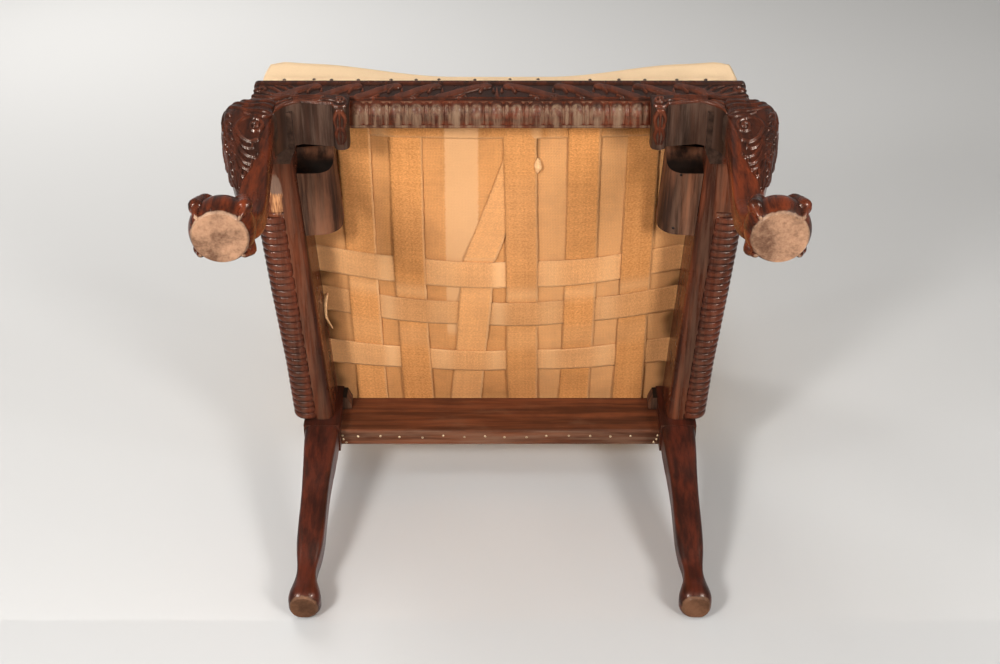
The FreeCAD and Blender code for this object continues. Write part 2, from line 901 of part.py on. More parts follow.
support_y = dim("support_y")
support_x = side_line(support_y) - 22
support_lean = dim("support_lean")
support_out = dim("arm_reach") - support_x
support_rise = arm_z - arm_low - rail_top
support_sections = []
for key, share, out, forward, half_u, half_v in (
    ("foot", 0, 0, 0, 19, 25),
    ("shoulder", 0.14, 0, 0.01, 16.5, 20),
    ("bend", 0.42, 0.2, 0.26, 14.5, 16),
    ("sweep", 0.72, 0.66, 0.7, 15, 17),
    ("neck", 1.02, 0.98, 1, 18, 23),
):
    corners, arcs = rounded(half_u, half_v, 7)
    support_sections.append(
        free_sketch(
            f"support_{key}",
            corners,
            arcs,
            support_x + support_out * out,
            support_y - support_lean * forward,
            rail_top + support_rise * share,
        )
    )
support_bar = loft("support_bar", support_sections)


def support_pin(name, slack):
    """Round tenon at the foot of an arm support, or with slack its hole."""
    pin = doc.addObject("Part::Cylinder", name)
    bind(pin, Radius=as_size(8) + slack, Height=as_size(24) + slack)
    return place(pin, support_x, support_y, rail_top - 18 - slack)


none = as_size(0)
arm_solid = fuse("arm_solid", [arm_bar, roll, arm_stub("arm_stub", none)])
support_foot = support_pin("support_foot", none)
support_solid = fuse("support_solid", [cut("support_shaped", support_bar, [arm_solid]), support_foot])
mirrored_pair("arm", arm_solid)
mirrored_pair("arm_support", support_solid)
mirrored_pair(
    "rear_leg",
    cut(
        "right_rear_leg",
        rear_solid,
        [
            rear_tenon("rear_mortises", clearance),
            side_tenon("rear_side_mortise", clearance),
            crest_room,
            lower_room,
            arm_stub("arm_mortise", clearance),
        ],
    ),
)
bored_rail = cut(
    "right_side_rail_bored", NODES["right_side_rail"], [support_pin("support_bore", clearance)]
)
NODES["left_side_rail"].Source = bored_rail
node("right_side_rail", bored_rail)

# Padded arm top, crowned and drawn in at its edges
pad_rear = stile_y - 70
pad_base = arm_z + arm_low - 5
pad_tall = dim("arm_pad_tall")
pad_sections = []
for key, share, width_share, tall_share in (
    ("rear", 0, 0.7, 0.45),
    ("rear_crown", 0.06, 0.96, 0.86),
    ("middle", 0.5, 1.06, 1),
    ("fore_crown", 0.94, 0.98, 0.86),
    ("fore", 1, 0.7, 0.45),
):
    y = pad_rear - dim("arm_pad_long") * share
    tall = pad_tall * tall_share / 2
    shift = Size(f"({y.text} / 400)", y.number / 400)
    pad_x = dim("arm_reach") - 5 - shift * 10
    corners, arcs = rounded(arm_half * width_share, tall, tall * 0.72, pad_x, pad_base + tall)
    pad_sections.append(free_sketch(f"arm_pad_{key}", corners, arcs, y=y, turn=UPRIGHT))
mirrored_pair("arm_pad", cut("right_arm_pad", loft("arm_pad_solid", pad_sections), [arm_solid]))

# Webbing: long straps and cross straps interlace and sag together
top_z = rail_top.number
web_thick = dim("web_thick").number
front_inner = (front_face + dim("front_rail_thick")).number
rear_inner = (rear_face - rear_thick).number
middle_y = (front_inner + rear_inner) / 2
half_depth = (rear_inner - front_inner) / 2 - 1.5
strap_start = front_face.number + 8
strap_finish = rear_face.number - 5
weave = web_thick * 0.8
web_levels = (0.6 * web_thick, 1.2 * web_thick)
# Each long strap's place on the front and on the rear rail, as a share of the half width there
STRAP_SHARES = (
    (-0.749, -0.818),
    (-0.48, -0.526),
    (-0.19, -0.212),
    (0.094, 0.147),
    (0.427, 0.476),
    (0.731, 0.818),
)
# Each cross strap's place, as a share of the way from the front rail to the rear rail
ROW_SHARES = (0.064, 0.495, 0.634, 0.822)
LOOSE = 2
cross_lines = [front_inner + (rear_inner - front_inner) * share for share in ROW_SHARES]
cross_reach = dim("cross_width").number / 2 + 2
loose_start = front_inner + dim("loose_gap").number


def inner_half(y):
    """Half the clear width between the side rails, or between the front posts."""
    half = side_line(y).number - dim("side_rail_thick").number
    return min(half, post_inner.number) if y < post_back.number else half


def layer_level(x, y, on_rail, inside):
    """Level of a layer: on_rail above the rail tops, and inside above the sagging middle of the seat."""
    across = max(0.0, 1 - (x / (inner_half(y) - 1.5)) ** 2)
    along = max(0.0, 1 - ((y - middle_y) / half_depth) ** 2)
    share = min(1.0, 5 * across * along)
    return top_z - dim("web_sag").number * across * along + on_rail + (inside - on_rail) * share


def between(value, start, finish, low, high):
    """Straight run from low at start to high at finish, level beyond both."""
    share = min(1.0, max(0.0, (value - start) / (finish - start)))
    return low + (high - low) * share


def strap_x(index, y):
    """Middle of a long strap; the loose one has slipped aside from its torn front end to the second row."""
    on_front, on_rear = STRAP_SHARES[index]
    low, high = on_front * inner_half(front_inner), on_rear * rear_post_inner.number
    held = cross_lines[1] - cross_reach
    if index == LOOSE and y < held:
        return between(y, loose_start, held, dim("loose_end").number, dim("loose_turn").number)
    if index == LOOSE:
        return between(y, held, strap_finish, dim("loose_turn").number, high)
    return between(y, strap_start, strap_finish, low, high)


def strap_lift(index, y):
    """Over and under the cross straps in turn; the torn end lies behind its neighbour."""
    for row, line in enumerate(cross_lines):
        if abs(y - line) <= cross_reach + 0.01:
            return weave if (index + row) % 2 else -weave
    return 0


def loft_bands(sections):
    """Solid through closed four-sided sections."""
    return Part.makeLoft([Part.makePolygon(corners + corners[:1]) for corners in sections], True, True)


def stops_between(start, finish, zones):
    """Stations along a strap: its ends, both edges of every crossing, and steps between."""
    steps = 12
    spots = [start + (finish - start) * step / steps for step in range(steps)] + [finish]
    clear = [spot for spot in spots if all(abs(spot - line) > half + 5 for line, half in zones)]
    edges = [line + side * half for line, half in zones for side in (-1, 1)]
    return sorted(clear + edges)


def long_stations(start, finish):
    """Stations from front to rear that all the layers of the seat share."""
    zones = [(line, cross_reach) for line in cross_lines]
    return [start] + stops_between(front_inner + 1, rear_inner - 1, zones) + [finish]


def band(edges, lift):
    """Cross section of a strap between two edge points."""
    low, high = Vector(0, 0, lift - web_thick / 2), Vector(0, 0, lift + web_thick / 2)
    return [edges[0] + low, edges[1] + low, edges[1] + high, edges[0] + high]


def long_strap(index):
    """Strap from the front rail to the rear rail."""
    half = dim("web_width").number / 2
    stations = long_stations(strap_start, strap_finish)
    behind = 2.2 * web_thick
    if index == LOOSE:
        stations = [loose_start] + [y for y in stations if y > loose_start + 12]
    sections = []
    for y in stations:
        x = strap_x(index, y)
        edges = [Vector(x + side * half, y, layer_level(x + side * half, y, *web_levels)) for side in (-1, 1)]
        lift = strap_lift(index, y)
        if index == LOOSE and y < cross_lines[1] - cross_reach:
            lift = between(y, loose_start, cross_lines[1] - cross_reach, behind, weave * 1.7)
        sections.append(band(edges, lift))
    return loft_bands(sections)


def cross_strap(row):
    """Strap from side rail to side rail, woven through the long straps."""
    y = cross_lines[row]
    half = dim("cross_width").number / 2
    edge = inner_half(y)
    reach = dim("web_width").number / 2 + 2
    zones = []
    sides = []
    for index in range(len(STRAP_SHARES)):
        if index == LOOSE and y < loose_start:
            continue
        slant = abs(strap_x(index, y + half) - strap_x(index, y - half)) / 2
        zones.append((strap_x(index, y), reach + slant))
        sides.append(1 if (index + row) % 2 else -1)
    stations = [-edge - 24] + stops_between(1 - edge, edge - 1, zones) + [edge + 24]
    sections = []
    for x in stations:
        lift = 0
        for (line, half_zone), side in zip(zones, sides):
            if abs(x - line) <= half_zone + 0.01:
                lift = -side * weave
        edges = []
        for side in (-1, 1):
            corner = Vector(x * inner_half(y + side * half) / edge, y + side * half, 0)
            corner.z = layer_level(corner.x, corner.y, *web_levels)
            edges.append(corner)
        sections.append(band(edges, lift))
    return loft_bands(sections)


for index in range(len(STRAP_SHARES)):
    node(f"woven_strap_{index + 1}", shaped(f"woven_strap_{index + 1}", long_strap(index)))
for row in range(len(ROW_SHARES)):
    node(f"cross_strap_{row + 1}", shaped(f"cross_strap_{row + 1}", cross_strap(row)))


# Seat padding: hessian, stuffing and calico cover
def spline(points):
    """Smooth edge through points."""
    curve = Part.BSplineCurve()
    curve.interpolate(points)
    return curve.toShape()


def blend(value, low, high):
    """Smooth step from 0 to 1."""
    share = min(1.0, max(0.0, (value - low) / (high - low)))
    return share * share * (3 - 2 * share)


seat_front = front_face.number
seat_rear = rear_face.number


def seat_top(share, y):
    """Height of the cover; share runs from 0 in the middle to 1 at the side edge."""
    back = blend(y, seat_front, 130)
    nosing = 7 * (1 - blend(y, seat_front, seat_front + 22))
    corner = dim("cover_corner").number * (1 - back) + dim("cover_rear").number * back
    centre = dim("cover_centre").number + 14 * blend(y, seat_front, -120)
    tail = dim("cover_rear").number - 3
    centre = centre * (1 - back) + tail * back
    rim = 16 * max(0.0, share - 0.86) ** 2 / 0.14**2
    return centre + (corner - centre) * blend(share, 0.18, 0.8) - nosing - rim


SEAT_STATIONS = (0, 0.015, 0.04, 0.1, 0.2, 0.3, 0.4, 0.52, 0.64, 0.76, 0.88, 1)
cover_thick = dim("cover_thick").number
hem = top_z - dim("hem_height").number


def seat_form():
    """Seat from the hem up to the crown of its cover."""
    wires = []
    for share in SEAT_STATIONS:
        y = seat_front + (seat_rear - seat_front) * share
        half = side_line(y).number
        steps = range(-8, 9)
        crown = [Vector(half * step / 8, y, seat_top(abs(step) / 8, y)) for step in steps]
        right, left = Vector(half, y, hem), Vector(-half, y, hem)
        edges = [
            spline(crown),
            Part.makeLine(crown[-1], right),
            Part.makeLine(right, left),
            Part.makeLine(left, crown[0]),
        ]
        wires.append(Part.Wire(edges))
    return Part.makeLoft(wires, True, True)


def seat_plan(inset):
    """Upright prism over the seat's plan, drawn in by inset."""
    low, high = seat_front + inset, seat_rear - inset
    corners = [
        Vector(-side_line(low).number + inset, low, 0),
        Vector(side_line(low).number - inset, low, 0),
        Vector(side_line(high).number - inset, high, 0),
        Vector(-side_line(high).number + inset, high, 0),
    ]
    return Part.Face(Part.makePolygon(corners + corners[:1])).extrude(Vector(0, 0, 2 * top_z))


def over_hessian(floor):
    """Room above the hessian, which bounds the stuffing from below."""
    wires = []
    for y in long_stations(seat_front - 10, seat_rear + 10):
        half = half_front.number + 5
        low = [Vector(half * step / 8, y, layer_level(half * step / 8, y, *floor)) for step in range(-8, 9)]
        right, left = Vector(half, y, 2 * top_z), Vector(-half, y, 2 * top_z)
        edges = [
            spline(low),
            Part.makeLine(low[-1], right),
            Part.makeLine(right, left),
            Part.makeLine(left, low[0]),
        ]
        wires.append(Part.Wire(edges))
    return Part.makeLoft(wires, True, True)


def notches(grow):
    """Room round the stiles and the arm supports, both sides."""
    rooms = []
    reach = 120
    stile_x = rear_post_inner.number - grow
    prop_x = support_x.number - 19.5 - grow
    for inner, low, long in (
        (stile_x, rear_post_front.number - grow, reach),
        (prop_x, support_y.number - 25.5 - grow, 51 + 2 * grow),
    ):
        for corner in (inner, -inner - reach):
            rooms.append(Part.makeBox(reach, long, 160, Vector(corner, low, hem - 20)))
    return rooms


form = seat_form()
drop = Vector(0, 0, -cover_thick)
hollow = form.translated(drop).common(seat_plan(cover_thick))
cover_shape = form.cut(hollow).cut(Part.makeCompound(notches(0.4)))
node("seat_cover", shaped("seat_cover", cover_shape))

stuffing = form.translated(drop * 1.2).common(seat_plan(cover_thick + 0.4))
stuffing = stuffing.common(over_hessian((3 * web_thick, 5.3 * web_thick)))
stuffing = stuffing.cut(Part.makeCompound(notches(0.8)))
node("seat_stuffing", shaped("seat_stuffing", stuffing))

hessian_wires = []
for y in long_stations(front_inner - 16, rear_inner + 12):
    half = rear_post_inner.number - 4 + max(0.0, rear_post_front.number - 30 - y) * slope.number
    low = [Vector(half * step / 8, y, 0) for step in range(-8, 9)]
    for point in low:
        point.z = layer_level(point.x, y, 2.4 * web_thick, 4.6 * web_thick)
    high = [Vector(point.x, point.y, point.z + 0.9) for point in reversed(low)]
    edges = [spline(low), Part.makeLine(low[-1], high[0]), spline(high), Part.makeLine(high[-1], low[0])]
    hessian_wires.append(Part.Wire(edges))
node("seat_hessian", shaped("seat_hessian", Part.makeLoft(hessian_wires, True, True)))

# Padded back: webbing and hessian on the frame, stuffing, calico inside and outside
back_half = half_rear + 2
back_top = dim("back_height")
back_low = as_size(27)


def back_form(name, gap):
    """Form of the upholstered back, drawn in by gap; its depth runs along its own Y axis."""
    middle = (back_top + back_low) / 2
    tall = (back_top - back_low) / 2
    sections = []
    for key, share, inset in (
        ("rear", 0, 0),
        ("edge", 0.34, 0),
        ("round", 0.48, 2.5),
        ("shoulder", 0.58, 8),
        ("shelf", 0.66, 20),
        ("swell", 0.8, 52),
        ("rise", 0.91, 96),
        ("crown", 0.975, 146),
        ("face", 1, 200),
    ):
        depth = as_size(1.6) - gap
        if share:
            depth = -dim("stile_depth") - dim("back_pad") * share + gap * blend(share, 0.34, 0.66)
        corners, arcs = rounded(
            back_half - inset - gap, tall - inset - gap, as_size(16 + inset * 0.2), 0, middle
        )
        x, y, z = on_back(0, depth, 0)
        sections.append(free_sketch(f"{name}_{key}", corners, arcs, x, y, z, back_turn.multiply(UPRIGHT)))
    return loft(name, sections, ruled=True)


back_shell = back_form("back_shell", as_size(0))
back_room = back_form("back_room", dim("cover_thick"))
arm_slots = [arm_stub("arm_slot", clearance), doc.addObject("Part::Mirroring", "arm_slot_left")]
arm_slots[1].Source = arm_slots[0]
arm_slots[1].Normal = Vector(1, 0, 0)
front_half = box(
    "back_front_half", 700, 200, 800, *on_back(-350, -dim("stile_depth") - 203.2, -50), back_turn
)
panel = dim("cover_thick")
rear_zone = box("back_rear_zone", 700, 20, 800, *on_back(-350, as_size(1.6) - panel, -50), back_turn)
back_skin = cut("back_skin", back_shell, [back_room])
stile_room = box(
    "stile_room",
    dim("stile_width") + clearance * 2,
    dim("stile_depth") + clearance * 2,
    60,
    *on_back(half_rear - dim("stile_width") - clearance, -dim("stile_depth") - clearance, 0),
    back_turn,
)
stile_room_left = doc.addObject("Part::Mirroring", "stile_room_left")
stile_room_left.Source = stile_room
stile_room_left.Normal = Vector(1, 0, 0)
node("back_cover", cut("back_cover", back_skin, [rear_zone, stile_room, stile_room_left] + arm_slots))
node("outside_back_cover", common("outside_back_cover", back_shell, rear_zone))
back_core = back_form("back_core", dim("cover_thick") + 0.3)
node("back_stuffing", common("back_stuffing", back_core, front_half))

hessian_half = half_rear - 6
node(
    "back_hessian",
    box(
        "back_hessian",
        hessian_half * 2,
        1,
        dim("stile_long") - dim("back_rail_rise") - 12,
        *on_back(-hessian_half, -dim("stile_depth") - 3, dim("back_rail_rise") + 6),
        back_turn,
    ),
)
back_straps = []
for index in range(5):
    x = (index - 2) * 96
    start = dim("back_rail_rise") + 8
    back_straps.append(
        box(
            f"back_strap_{index}",
            dim("web_width"),
            dim("web_thick") - 0.2,
            dim("stile_long") - 12 - start,
            *on_back(as_size(x) - dim("web_width") / 2, -dim("stile_depth") - 1.9, start),
            back_turn,
        )
    )
back_web = doc.addObject("Part::Compound", "back_webbing")
back_web.Links = back_straps
node("back_webbing", back_web)


# Check every object, then write one file for each piece
doc.recompute()
for obj in doc.Objects:
    if "Invalid" in obj.State or "Error" in obj.State:
        raise RuntimeError(f"{obj.Name} did not build: {obj.State}")
for label, obj in NODES.items():
    shape = obj.Shape
    if shape.isNull() or not shape.isValid() or not shape.Solids:
        raise RuntimeError(f"{label} has no valid solid")
    shape.exportStep(f"parts/{label}.step")
    extent = shape.BoundBox
    print(f"{label}: {extent.XLength:.1f} x {extent.YLength:.1f} x {extent.ZLength:.1f}")
whole = Part.makeCompound([obj.Shape for obj in NODES.values()]).BoundBox
print(f"whole: {whole.XLength:.1f} x {whole.YLength:.1f} x {whole.ZLength:.1f}")
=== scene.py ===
import logging
import math
from dataclasses import dataclass
from enum import Enum
from typing import Any, Sequence

import bpy
import numpy as np
from bpy.types import Material, Node, NodeSocket, NodeTree, Object
from mathutils import Matrix, Vector
from mathutils.bvhtree import BVHTree


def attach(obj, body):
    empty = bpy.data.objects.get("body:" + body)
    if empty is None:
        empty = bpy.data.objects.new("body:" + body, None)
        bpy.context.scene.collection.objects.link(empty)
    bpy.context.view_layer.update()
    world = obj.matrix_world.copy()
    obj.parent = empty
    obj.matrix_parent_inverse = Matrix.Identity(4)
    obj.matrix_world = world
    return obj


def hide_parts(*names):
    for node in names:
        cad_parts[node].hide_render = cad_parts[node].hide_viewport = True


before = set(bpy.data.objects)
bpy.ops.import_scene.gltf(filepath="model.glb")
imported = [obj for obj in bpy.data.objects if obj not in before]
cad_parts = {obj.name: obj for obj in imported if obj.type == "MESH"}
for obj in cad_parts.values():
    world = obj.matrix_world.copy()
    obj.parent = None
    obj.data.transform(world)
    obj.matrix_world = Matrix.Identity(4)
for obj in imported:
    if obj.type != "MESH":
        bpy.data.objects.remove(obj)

LOG = logging.getLogger("armchair")
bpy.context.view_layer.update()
MM = 0.001
Array = np.ndarray
Colour = tuple[float, float, float]
Point = tuple[float, float, float]

PATCH_BROWN: Colour = (0.022, 0.0085, 0.0055)
PORE_BROWN: Colour = (0.014, 0.006, 0.004)
RUBBED_RED_AND_HIGHLIGHT: Colour = (0.205, 0.060, 0.030)
FRONT_SHADOW_BLACK: Colour = (0.0045, 0.0032, 0.0027)
POST_DARK: Colour = (0.022, 0.0110, 0.0075)
POST_LIGHT: Colour = (0.075, 0.040, 0.0265)
BARE_LIGHT: Colour = (0.56, 0.265, 0.115)
BARE_DARK: Colour = (0.20, 0.072, 0.030)
BARE_DULL: Colour = (0.150, 0.092, 0.068)
CLEAN_JUTE: Colour = (0.70, 0.385, 0.178)


class Grain(Enum):
    """The way the grain of a piece of wood runs."""

    ACROSS = (5.0, 80.0, 80.0)
    DEEP = (80.0, 5.0, 80.0)
    UPRIGHT = (80.0, 80.0, 5.0)


class Weave(Enum):
    """How yarns pass over and under: yarns in one repeat, and how many of them go over."""

    PLAIN = (2.0, 0.5)
    TWILL = (4.0, 1.5)


# Small helpers


def blend(value: Any, start: float, finish: float) -> Any:
    """Ease from 0 to 1.

    Args:
        value: Number or array to place between the two ends.
        start: Value that gives 0.
        finish: Value that gives 1.

    Returns:
        The eased share, shaped like value.
    """
    share = np.clip((np.asarray(value, dtype=float) - start) / (finish - start), 0.0, 1.0)
    return share * share * (3.0 - 2.0 * share)


def window(value: Any, low: float, high: float, rise: float, fall: float) -> Any:
    """Ease up to 1 inside a range and down again at its end.

    Args:
        value: Number or array to place in the range.
        low: Where the range starts.
        high: Where it ends.
        rise: Run of the ease at the start.
        fall: Run of the ease at the end.

    Returns:
        The eased share, shaped like value.
    """
    return blend(value, low, low + rise) * (1.0 - blend(value, high - fall, high))


def ripple(first: Any, second: Any, seed: int, waves: int = 7) -> Any:
    """Give soft, repeatable unevenness between about -1 and 1.

    Args:
        first: First place, in radians of the middle wave.
        second: Second place, in the same measure.
        seed: Which unevenness to give.
        waves: How many waves are added.

    Returns:
        The unevenness, shaped like the places.
    """
    dice = np.random.default_rng(seed)
    total = np.zeros(np.broadcast(first, second).shape)
    for _ in range(waves):
        turn, phase = dice.uniform(0.0, 2.0 * math.pi, 2)
        pace = dice.uniform(0.5, 1.7)
        total = total + np.sin((np.cos(turn) * first + np.sin(turn) * second) * pace + phase)
    return total / math.sqrt(2.0 * waves)


def grid_faces(rows: int, columns: int, closed: bool = False, start: int = 0) -> list[tuple[int, ...]]:
    """List the quads of a grid whose points run row by row.

    Args:
        rows: Count of rows.
        columns: Count of points in a row.
        closed: Whether each row joins its own start.
        start: Number of the first point.

    Returns:
        The quads.
    """
    faces = []
    last = columns if closed else columns - 1
    for row in range(rows - 1):
        for column in range(last):
            here = start + row * columns + column
            across = start + row * columns + (column + 1) % columns
            faces.append((here, across, across + columns, here + columns))
    return faces


def tube_faces(rings: int, around: int, start: int = 0) -> list[tuple[int, ...]]:
    """List the faces of a tube that is closed at both ends.

    Args:
        rings: Count of rings.
        around: Count of points in a ring.
        start: Number of its first point.

    Returns:
        The faces as point numbers.
    """
    last = start + (rings - 1) * around
    caps = [tuple(reversed(range(start, start + around))), tuple(range(last, last + around))]
    return grid_faces(rings, around, closed=True, start=start) + caps


def grid_border(rows: int, columns: int) -> list[int]:
    """List the points round the edge of a grid, once round.

    Args:
        rows: Count of rows.
        columns: Count of points in a row.

    Returns:
        The numbers of the points.
    """
    numbers = np.arange(rows * columns).reshape(rows, columns)
    sides = (numbers[0], numbers[1:, -1], numbers[-1, -2::-1], numbers[-2:0:-1, 0])
    return np.concatenate(sides).tolist()


def make_mesh(
    name: str,
    points: Array,
    faces: Sequence[Sequence[int]],
    marks: dict[str, Array] | None = None,
    smooth: bool = True,
) -> Object:
    """Make one mesh object from points in millimetres.

    Args:
        name: Name of the piece.
        points: Points, one row each.
        faces: Point numbers of each face.
        marks: Values kept at the points, one number or three for each.
        smooth: Whether the faces shade smoothly.

    Returns:
        The new object, in the scene.
    """
    mesh = bpy.data.meshes.new(name)
    mesh.from_pydata((np.asarray(points) * MM).tolist(), [], [tuple(face) for face in faces])
    mesh.polygons.foreach_set("use_smooth", [smooth] * len(mesh.polygons))
    for mark, values in (marks or {}).items():
        values = np.asarray(values, dtype=np.float32)
        if values.ndim == 1:
            mesh.attributes.new(mark, "FLOAT", "POINT").data.foreach_set("value", values)
        else:
            mesh.attributes.new(mark, "FLOAT_VECTOR", "POINT").data.foreach_set("vector", values.ravel())
    mesh.update()
    piece = bpy.data.objects.new(name, mesh)
    bpy.context.scene.collection.objects.link(piece)
    return piece


def place(
    piece: Object, finish: Material, stands_for: Sequence[str] = ()
) -> Object:
    """Give a piece its finish and its place on the chair.

    Args:
        piece: The piece.
        finish: Its material.
        stands_for: Names of the solids that it stands for.

    Returns:
        The same piece.
    """
    piece.data.materials.clear()
    piece.data.materials.append(finish)
    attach(piece, "root")
    if stands_for:
        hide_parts(*stands_for)
    LOG.info("%s: %d points", piece.name, len(piece.data.vertices))
    return piece


# Shader building


class Nodes:
    """Adds and joins the nodes of one tree."""

    def __init__(self, tree: NodeTree) -> None:
        """Keep the tree that the nodes go into."""
        self.tree = tree

    def add(self, kind: str, **settings: Any) -> Node:
        """Add a node.

        Args:
            kind: Type name of the node.
            settings: Values of its properties.

        Returns:
            The node.
        """
        node = self.tree.nodes.new(kind)
        for key, value in settings.items():
            setattr(node, key, value)
        return node

    def put(self, socket: NodeSocket, value: Any) -> None:
        """Link a socket to an output, or set its value.

        Args:
            socket: Input to fill.
            value: An output socket, or a plain value.
        """
        if isinstance(value, NodeSocket):
            self.tree.links.new(value, socket)
        else:
            socket.default_value = value

    def math(self, operation: str, first: Any, second: Any = 0.0, clamp: bool = False) -> NodeSocket:
        """Work one sum.

        Args:
            operation: Name of the sum.
            first: First number or output.
            second: Second number or output.
            clamp: Whether the answer stays from 0 to 1.

        Returns:
            The answer's output.
        """
        node = self.add("ShaderNodeMath", operation=operation, use_clamp=clamp)
        self.put(node.inputs[0], first)
        self.put(node.inputs[1], second)
        return node.outputs[0]

    def times(self, first: Any, second: Any) -> NodeSocket:
        """Multiply two numbers or outputs."""
        return self.math("MULTIPLY", first, second)

    def plus(self, first: Any, second: Any, clamp: bool = False) -> NodeSocket:
        """Add two numbers or outputs."""
        return self.math("ADD", first, second, clamp)

    def mark(self, name: str) -> NodeSocket:
        """Read a number that the mesh keeps at its points."""
        return self.add("ShaderNodeAttribute", attribute_name=name).outputs["Fac"]

    def split(self, vector: Any) -> Any:
        """Take a vector apart.

        Args:
            vector: Output that gives the vector.

        Returns:
            The outputs X, Y and Z, by name.
        """
        node = self.add("ShaderNodeSeparateXYZ")
        self.put(node.inputs[0], vector)
        return node.outputs

    def ease(
        self, value: Any, start: float, finish: float, low: float = 0.0, high: float = 1.0
    ) -> NodeSocket:
        """Ease a value from one range to another.

        Args:
            value: Output to ease.
            start: Value that gives low.
            finish: Value that gives high.
            low: Answer at the start.
            high: Answer at the finish.

        Returns:
            The eased output.
        """
        node = self.add("ShaderNodeMapRange", interpolation_type="SMOOTHSTEP")
        self.put(node.inputs["Value"], value)
        ends = (start, finish, low, high)
        if start > finish:
            ends = (finish, start, high, low)
        for socket, number in zip(("From Min", "From Max", "To Min", "To Max"), ends):
            node.inputs[socket].default_value = number
        return node.outputs["Result"]

    def mix(self, share: Any, first: Any, second: Any) -> NodeSocket:
        """Mix two colours.

        Args:
            share: How much of the second.
            first: First colour or output.
            second: Second colour or output.

        Returns:
            The mixed colour's output.
        """
        node = self.add("ShaderNodeMix", data_type="RGBA")
        self.put(node.inputs[0], share)
        for socket, colour in ((node.inputs[6], first), (node.inputs[7], second)):
            self.put(socket, colour if isinstance(colour, NodeSocket) else (*colour, 1.0))
        return node.outputs[2]

    def noise(self, where: Any, scale: float, detail: float = 4.0, rough: float = 0.55) -> NodeSocket:
        """Add cloudy noise.

        Args:
            where: Output that gives the place.
            scale: How fine the noise is.
            detail: How many finer layers are added.
            rough: How strong the finer layers are.

        Returns:
            The noise's value.
        """
        node = self.add("ShaderNodeTexNoise")
        self.put(node.inputs["Vector"], where)
        for socket, number in (("Scale", scale), ("Detail", detail), ("Roughness", rough)):
            node.inputs[socket].default_value = number
        return node.outputs["Fac"]

    def stretch(self, where: Any, scale: Sequence[float]) -> NodeSocket:
        """Stretch a place along the three directions.

        Args:
            where: Output that gives the place.
            scale: How much each direction is stretched.

        Returns:
            The stretched place.
        """
        node = self.add("ShaderNodeMapping")
        self.put(node.inputs["Vector"], where)
        node.inputs["Scale"].default_value = scale
        return node.outputs["Vector"]

    def bump(self, shader: Node, strength: float, distance: float, height: NodeSocket) -> None:
        """Raise the surface of a shader.

        Args:
            shader: The shader.
            strength: How strongly it is raised.
            distance: How high, in metres.
            height: Output that gives the height.
        """
        node = self.add("ShaderNodeBump")
        node.inputs["Strength"].default_value = strength
        node.inputs["Distance"].default_value = distance
        self.put(node.inputs["Height"], height)
        self.put(shader.inputs["Normal"], node.outputs["Normal"])

    def effect(self, tree: NodeTree, **values: Any) -> Any:
        """Add a shared effect.

        Args:
            tree: The effect's node group.
            values: Its inputs by name.

        Returns:
            Its outputs, by name.
        """
        node = self.add("ShaderNodeGroup", node_tree=tree)
        for key, value in values.items():
            self.put(node.inputs[key], value)
        return node.outputs


class Effect(Nodes):
    """A shared effect, built as a node group that gives plain numbers."""

    def __init__(self, name: str, takes: dict[str, str], gives: Sequence[str]) -> None:
        """Start the group.

        Args:
            name: Name of the effect.
            takes: Kind of each input, by name.
            gives: Names of its outputs.
        """
        super().__init__(bpy.data.node_groups.new(name, "ShaderNodeTree"))
        for title, kind in takes.items():
            self.tree.interface.new_socket(name=title, in_out="INPUT", socket_type=f"NodeSocket{kind}")
        for title in gives:
            self.tree.interface.new_socket(name=title, in_out="OUTPUT", socket_type="NodeSocketFloat")
        self.taken = self.add("NodeGroupInput").outputs
        self.given = self.add("NodeGroupOutput").inputs

    def give(self, name: str, value: NodeSocket) -> None:
        """Send a number out of the group."""
        self.put(self.given[name], value)


